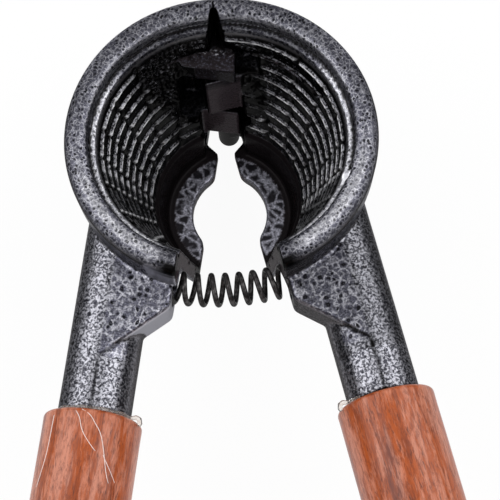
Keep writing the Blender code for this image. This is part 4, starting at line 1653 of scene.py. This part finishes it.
@dataclass
class HingePin:
    """Pin with a slightly rounded top and a domed lower end."""

    place: HalfFrame
    finish: DarkSteel
    radius: float = 2.3
    top: float = -11.4
    end: float = -53.0
    top_round: float = 0.45
    crown: float = 0.12
    shank: Point = (-50.0, -30.0)
    shank_rings: int = 12
    lean_from: float = -31.0
    lean_to: float = -44.0
    lean: Point = (0.95, -0.55)

    def line(self, z: float) -> Point:
        """Sideways shift of the pin's lower end, which stands a little askew."""
        part = min(max((self.lean_from - z) / (self.lean_from - self.lean_to), 0.0), 1.0)
        return self.lean[0] * part, self.lean[1] * part

    def build(self) -> Item:
        """Turns the pin and stands it in the hinge.

        Returns:
            The piece, riding on its body.
        """
        dome = arc((0.0, self.end + self.radius), self.radius, -90.0, 0.0, 14)
        corner = (self.radius - self.top_round, self.top - self.top_round)
        profile = [(0.0, self.end)] + dome[1:]
        profile += [(self.radius, z) for z in np.linspace(*self.shank, self.shank_rings)]
        profile += arc(corner, self.top_round, 0.0, 90.0, 6) + [(0.0, self.top + self.crown)]
        mesh = lathe(profile, 56, self.line)
        piece = set_piece("turned_pin", mesh, self.place.matrix(), self.finish.material())
        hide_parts("hinge_pin")
        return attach(piece, self.place.body)


@dataclass
class ReturnSpring:
    """Open coil spring between the webs, on a circle about the hinge."""

    hinge: Triple
    finish: DarkSteel
    circle: float = 50.4
    level: float = -12.2
    outer_radius: float = 3.45
    wire_radius: float = 0.55
    turns: int = 12
    steps: int = 32
    phase: float = math.radians(160.0)
    web_setback: float = 0.8
    seat_depth: float = 7.7
    end_gap: float = 0.5
    sides: int = 14
    bend_reach: float = 16.0

    def axis(self, distance: float) -> tuple[Vector, Vector]:
        """Point and direction on the centre line, by distance from the middle plane.

        Args:
            distance: distance from the middle plane, less than 0 on the left.

        Returns:
            The point and the direction.
        """
        half_arc = self.circle * OPENING
        held = min(max(distance, -half_arc), half_arc)
        angle = held / self.circle
        point = Vector((math.sin(angle), -math.cos(angle), 0.0)) * self.circle
        along = Vector((math.cos(angle), math.sin(angle), 0.0))
        return point + along * (distance - held), along

    def wire(self) -> list[Vector]:
        """Centre line of the wire, with a straight stub at each end.

        Returns:
            The points from the left end to the right end.
        """
        stub = 2.0 * self.wire_radius
        reach = self.circle * OPENING + self.web_setback + self.seat_depth - self.end_gap - stub
        radius = self.outer_radius - self.wire_radius
        up = Vector((0.0, 0.0, 1.0))
        level = up * self.level
        points = []
        count = self.turns * self.steps
        for i in range(count + 1):
            distance = reach * (2.0 * i / count - 1.0)
            turn = self.phase + math.tau * (i / self.steps - 0.5 * self.turns)
            middle, along = self.axis(distance)
            across = up.cross(along)
            points.append(middle + level + (across * math.cos(turn) + up * math.sin(turn)) * radius)
        first = points[0] - self.axis(-reach)[1] * stub
        last = points[-1] + self.axis(reach)[1] * stub
        return [first] + points + [last]

    def build(self) -> Item:
        """Winds the spring between the two seats.

        Returns:
            The piece, on an arc from the left half to the right half.
        """
        points = self.wire()
        mesh = tube(points, [self.wire_radius] * len(points), self.sides)
        piece = set_piece("coil_spring", mesh, Matrix.Translation(self.hinge),
                          self.finish.material())
        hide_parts("return_spring")
        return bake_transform(piece)


@dataclass
class Grip:
    """Turned wooden grip on the tang."""

    jaw: Jaw
    finish: LacqueredWood
    radius: float = 9.6
    length: float = 106.9
    collar_round: float = 0.9
    end_round: float = 2.5
    bore: float = 4.3
    bore_depth: float = 81.2
    gap: float = 0.3
    sway: float = 0.05
    sway_pitch: float = 0.09
    rings: int = 42
    segments: int = 96

    def matrix(self) -> Matrix:
        """Frame in world metres whose Z axis runs along the grip, from its collar.

        Returns:
            The frame.
        """
        arm = self.jaw.arm_matrix() @ Matrix.Translation((0.0, 0.0, self.jaw.arm_end + self.gap))
        arm.translation = arm.translation * MM
        return self.jaw.place.matrix() @ arm

    def build(self) -> Item:
        """Turns the grip and sets it on its arm.

        Returns:
            The piece, riding on its body.
        """
        collar = (self.radius - self.collar_round, self.collar_round)
        end = (self.radius - self.end_round, self.length - self.end_round)
        profile = [(0.0, self.bore_depth), (self.bore, self.bore_depth), (self.bore, 0.0)]
        profile += [(self.bore + 0.5 * (collar[0] - self.bore), 0.0)]
        profile += arc(collar, self.collar_round, -90.0, 0.0, 6)
        body = np.linspace(collar[1], end[1], self.rings)[1:-1]
        for z in body:
            thinned = self.sway * (1.0 - math.sin(self.sway_pitch * z))
            profile.append((self.radius - thinned, z))
        profile += arc(end, self.end_round, 0.0, 90.0, 10)
        profile.append((0.0, self.length))
        mesh = lathe(profile, self.segments)
        word = self.jaw.place.word
        piece = set_piece(word + "_wood", mesh, self.matrix(), self.finish.material())
        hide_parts(word + "_grip")
        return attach(piece, self.jaw.place.body)


@dataclass
class GlueBead:
    """Set glue squeezed out round a collar, ending in a bead over the grip's edge.

    Threads of glue lie on the wood. They are given as points in the photo view's pixels.
    """

    grip: Grip
    finish: SetGlue
    start: float
    end: float
    threads: tuple[tuple[Point, ...], ...] = ()
    thickness: float = 0.36
    steps: int = 40
    ripple: float = 31.0
    bead: float = 0.5
    thread_radius: float = 0.072
    thread_sides: int = 8
    tube_sides: int = 16
    grain: float = 0.13
    rounds: int = 6

    def on_wood(self, pixel: Point) -> Vector:
        """Where the photo view's ray through a pixel meets the grip, in the grip's frame.

        Args:
            pixel: a point in the photo view.

        Returns:
            The point.
        """
        into = self.grip.matrix().inverted()
        eye = (into @ Vector(PhotoView().place)) / MM
        ray = (into.to_3x3() @ PhotoView().ray(pixel)).normalized()
        radius = self.grip.radius + 0.5 * self.thread_radius
        square = ray.x ** 2 + ray.y ** 2
        half = eye.x * ray.x + eye.y * ray.y
        rest = eye.x ** 2 + eye.y ** 2 - radius ** 2
        root = math.sqrt(max(half ** 2 - square * rest, 0.0))
        return eye + ray * (-half - root) / square

    def with_threads(self, mesh: Mesh) -> Mesh:
        """The bead together with its threads, as one mesh.

        Args:
            mesh: the bead.

        Returns:
            The closed mesh.
        """
        bm = bmesh.new()
        bm.from_mesh(mesh)
        for pixels in self.threads:
            corners = [self.on_wood(pixel) for pixel in pixels]
            points = []
            for before, here, after in zip(corners, corners[1:-1], corners[2:]):
                for part in (0.0, 0.25, 0.5, 0.75):
                    near, far = (before + here) / 2.0, (here + after) / 2.0
                    points.append(near.lerp(here, part).lerp(here.lerp(far, part), part))
            if not points:
                points = [corners[0], corners[0].lerp(corners[-1], 0.5), corners[-1]]
            thread = tube(points, [self.thread_radius] * len(points), self.thread_sides)
            bm.from_mesh(thread)
            bpy.data.meshes.remove(thread)
        return closed_mesh(bm, "set_glue")

    def build(self) -> Item:
        """Runs the glue round the collar.

        Returns:
            The piece, riding on its body.
        """
        jaw = self.grip.jaw
        sign = jaw.place.sign
        gap = self.grip.gap
        run = []
        for part in np.linspace(0.0, 1.0, self.steps):
            thick = self.thickness * (0.55 + 0.45 * part + 0.12 * math.sin(self.ripple * part))
            angle = self.start + (self.end - self.start) * part
            run.append((jaw.arm_radius + gap + thick, angle, -gap - thick, thick))
        bead, outside = self.bead, self.grip.radius + gap + 0.35 * self.bead
        run.append((self.grip.radius - bead, self.end, -gap - bead, bead))
        run.append((outside - 0.5 * bead, self.end, -0.9 * bead, bead))
        run.append((outside, self.end, bead, bead))
        run.append((outside, self.end, 2.0 * bead, 0.45 * bead))
        points, radii = [], []
        for radius, angle, height, thick in run:
            turn = math.radians(angle)
            across = -sign * radius * math.cos(turn)
            points.append(Vector((across, radius * math.sin(turn), height)))
            radii.append(thick)
        bead_mesh = Casting(tube(points, radii, self.tube_sides)).cast(self.grain, self.rounds)
        count = len(bead_mesh.vertices)
        mesh = self.with_threads(bead_mesh)
        paint(mesh, "threads", (np.arange(len(mesh.vertices)) >= count).astype(float))
        word = jaw.place.word
        piece = set_piece(word + "_set_glue", mesh, self.grip.matrix(), self.finish.material())
        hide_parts(word + "_glue")
        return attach(piece, jaw.place.body)


@dataclass(frozen=True)
class PhotoView:
    """The photograph's camera, in world metres."""

    place: Triple = (0.00734, -0.09303, 0.41128)
    up: Triple = (0.0676, 0.9359, 0.3456)
    back: Triple = (0.0081, -0.3469, 0.9379)
    lens: float = 144.0
    sensor: float = 36.0
    frame_size: int = 500

    def matrix(self) -> Matrix:
        """The camera's placement.

        Returns:
            The placement.
        """
        back = Vector(self.back).normalized()
        right = Vector(self.up).cross(back).normalized()
        turn = Matrix((right, back.cross(right), back)).transposed().to_4x4()
        return Matrix.Translation(self.place) @ turn

    def ray(self, pixel: Point) -> Vector:
        """Direction in the world through a pixel of the photo.

        Args:
            pixel: a point in the photo.

        Returns:
            The direction, not normalised.
        """
        half = 0.5 * self.frame_size
        scale = self.sensor / self.lens / self.frame_size
        across, down = (pixel[0] - half) * scale, (pixel[1] - half) * scale
        return self.matrix().to_3x3() @ Vector((across, -down, -1.0))

    def build(self) -> Item:
        """Makes it the scene's camera.

        Returns:
            The camera.
        """
        camera = bpy.data.cameras.new("photo_view")
        camera.lens = self.lens
        camera.sensor_width = self.sensor
        camera.clip_start = 0.01
        item = bpy.data.objects.new("photo_view", camera)
        bpy.context.scene.collection.objects.link(item)
        item.matrix_world = self.matrix()
        bpy.context.scene.camera = item
        return item


@dataclass(frozen=True)
class Studio:
    """White table in soft overhead light.

    A window is the range of directions over which the light rises.
    """

    table: float = 3.0
    table_white: Colour = (0.86, 0.86, 0.86)
    table_roughness: float = 0.9
    table_share: float = 0.94
    white: Colour = (1.0, 1.0, 1.0)
    overhead: float = 0.5
    sides: float = 0.75
    horizon: float = 0.14
    rise_window: Point = (0.22, 0.5)
    side_window: Point = (0.15, 0.6)
    lamp_power: float = 1.3
    lamp_size: float = 0.6
    lamp_aside: float = 0.42
    lamp_place: Point = (0.06, 0.46)
    lamp_aim: Triple = (0.0, 0.03, 0.03)

    def sky(self) -> None:
        """Surroundings: white to the camera, brightest overhead for the object."""
        world = bpy.data.worlds.new("studio")
        bpy.context.scene.world = world
        world.use_nodes = True
        sky = Nodes(world.node_tree)
        sky.tree.nodes.clear()
        where = sky.node('ShaderNodeTexCoord', {}).outputs["Generated"]
        parts = sky.node('ShaderNodeSeparateXYZ', {0: where})
        rise = sky.step(parts.outputs["Z"], *self.rise_window)
        aside = sky.reckon('ABSOLUTE', parts.outputs["X"])
        wide = sky.step(aside, *self.side_window, self.overhead, self.overhead + self.sides)
        strength = sky.reckon('MULTIPLY_ADD', rise, wide, self.horizon)
        light = sky.node('ShaderNodeBackground', {"Color": self.white, "Strength": strength})
        white = sky.node('ShaderNodeBackground', {"Color": self.white})
        seen = sky.rays("Is Camera Ray", "Is Transmission Ray")
        shown = sky.node('ShaderNodeMixShader', {0: seen, 1: light.outputs[0], 2: white.outputs[0]})
        sky.node('ShaderNodeOutputWorld', {"Surface": shown.outputs[0]})

    def floor(self) -> Item:
        """Table top that shows white and keeps the object's shadow.

        Returns:
            The table top, which is stage.
        """
        half = 0.5 * self.table
        corners = [(-half, -half, 0.0), (half, -half, 0.0), (half, half, 0.0), (-half, half, 0.0)]
        mesh = bpy.data.meshes.new("table_top")
        mesh.from_pydata(corners, [], [(0, 1, 2, 3)])
        item = bpy.data.objects.new("table_top", mesh)
        bpy.context.scene.collection.objects.link(item)
        paper = Recipe("table_white")
        paper.coat(Base_Color=self.table_white, Roughness=self.table_roughness)
        glow = paper.node('ShaderNodeEmission', {})
        seen = paper.rays("Is Camera Ray", "Is Glossy Ray", "Is Transmission Ray")
        seen = paper.reckon('MULTIPLY', seen, self.table_share)
        inputs = {0: seen, 1: paper.shader.outputs[0], 2: glow.outputs[0]}
        shown = paper.node('ShaderNodeMixShader', inputs)
        paper.feed(paper.tree.nodes["Material Output"].inputs["Surface"], shown.outputs[0])
        mesh.materials.append(paper.material)
        return item

    def lamp(self, aside: float) -> None:
        """Soft lamp above one side of the table.

        Args:
            aside: its place along X.
        """
        light = bpy.data.lights.new("softbox", 'AREA')
        light.energy = self.lamp_power
        light.size = self.lamp_size
        item = bpy.data.objects.new("softbox", light)
        bpy.context.scene.collection.objects.link(item)
        item.location = (aside, *self.lamp_place)
        aim = Vector(self.lamp_aim) - item.location
        item.rotation_euler = aim.to_track_quat('-Z', 'Y').to_euler()

    def build(self) -> None:
        """Sets up the surroundings, the table and the lamps."""
        self.sky()
        self.floor()
        for aside in (-self.lamp_aside, self.lamp_aside):
            self.lamp(aside)


THREADS = (
    ((56.5, 404.0), (52.0, 426.0), (47.0, 453.0), (38.0, 482.0), (31.0, 503.0)),
    ((72.0, 405.0), (80.0, 416.0), (81.0, 430.0), (93.0, 449.0), (102.0, 458.0)),
    ((74.0, 405.0), (90.0, 413.0), (95.0, 423.0), (101.0, 433.0), (104.0, 453.0), (106.0, 478.0),
     (114.0, 500.0)),
    ((102.0, 452.0), (104.0, 458.0), (113.0, 478.0), (119.0, 498.0)),
)


def main() -> None:
    """Builds the camera, the studio and every piece, and reports each of them."""
    logging.basicConfig(level=logging.INFO)
    bpy.context.scene.view_settings.view_transform = 'Standard'
    hinge = frame["joints"][0]["pos_m"]
    lip_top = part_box("left_jaw")[1].z
    axis = (hinge[0], hinge[1], lip_top)
    PhotoView().build()
    Studio().build()
    pin_steel = DarkSteel("pin_steel", (0.004, 0.0035, 0.0035), (0.012, 0.011, 0.012), 0.6, 0.5)
    wire_steel = DarkSteel("wire_steel", (0.025, 0.023, 0.023), (0.09, 0.085, 0.085), 0.7, 0.3)
    for side, shift, glue in ((Side.LEFT, 0.0, (170.0, 20.0)), (Side.RIGHT, 37.0, (50.0, 25.0))):
        place = HalfFrame(side, axis)
        jaw = Jaw(place, Hammertone("hammertone_" + place.word, shift))
        jaw.build()
        grip = Grip(jaw, LacqueredWood("lacquered_wood_" + place.word, shift))
        grip.build()
        threads = THREADS if side is Side.LEFT else ()
        GlueBead(grip, SetGlue("set_glue_" + place.word), *glue, threads).build()
        if side is Side.LEFT:
            HingePin(place, pin_steel).build()
    ReturnSpring(axis, wire_steel).build()


if __name__ == "__main__":
    main()
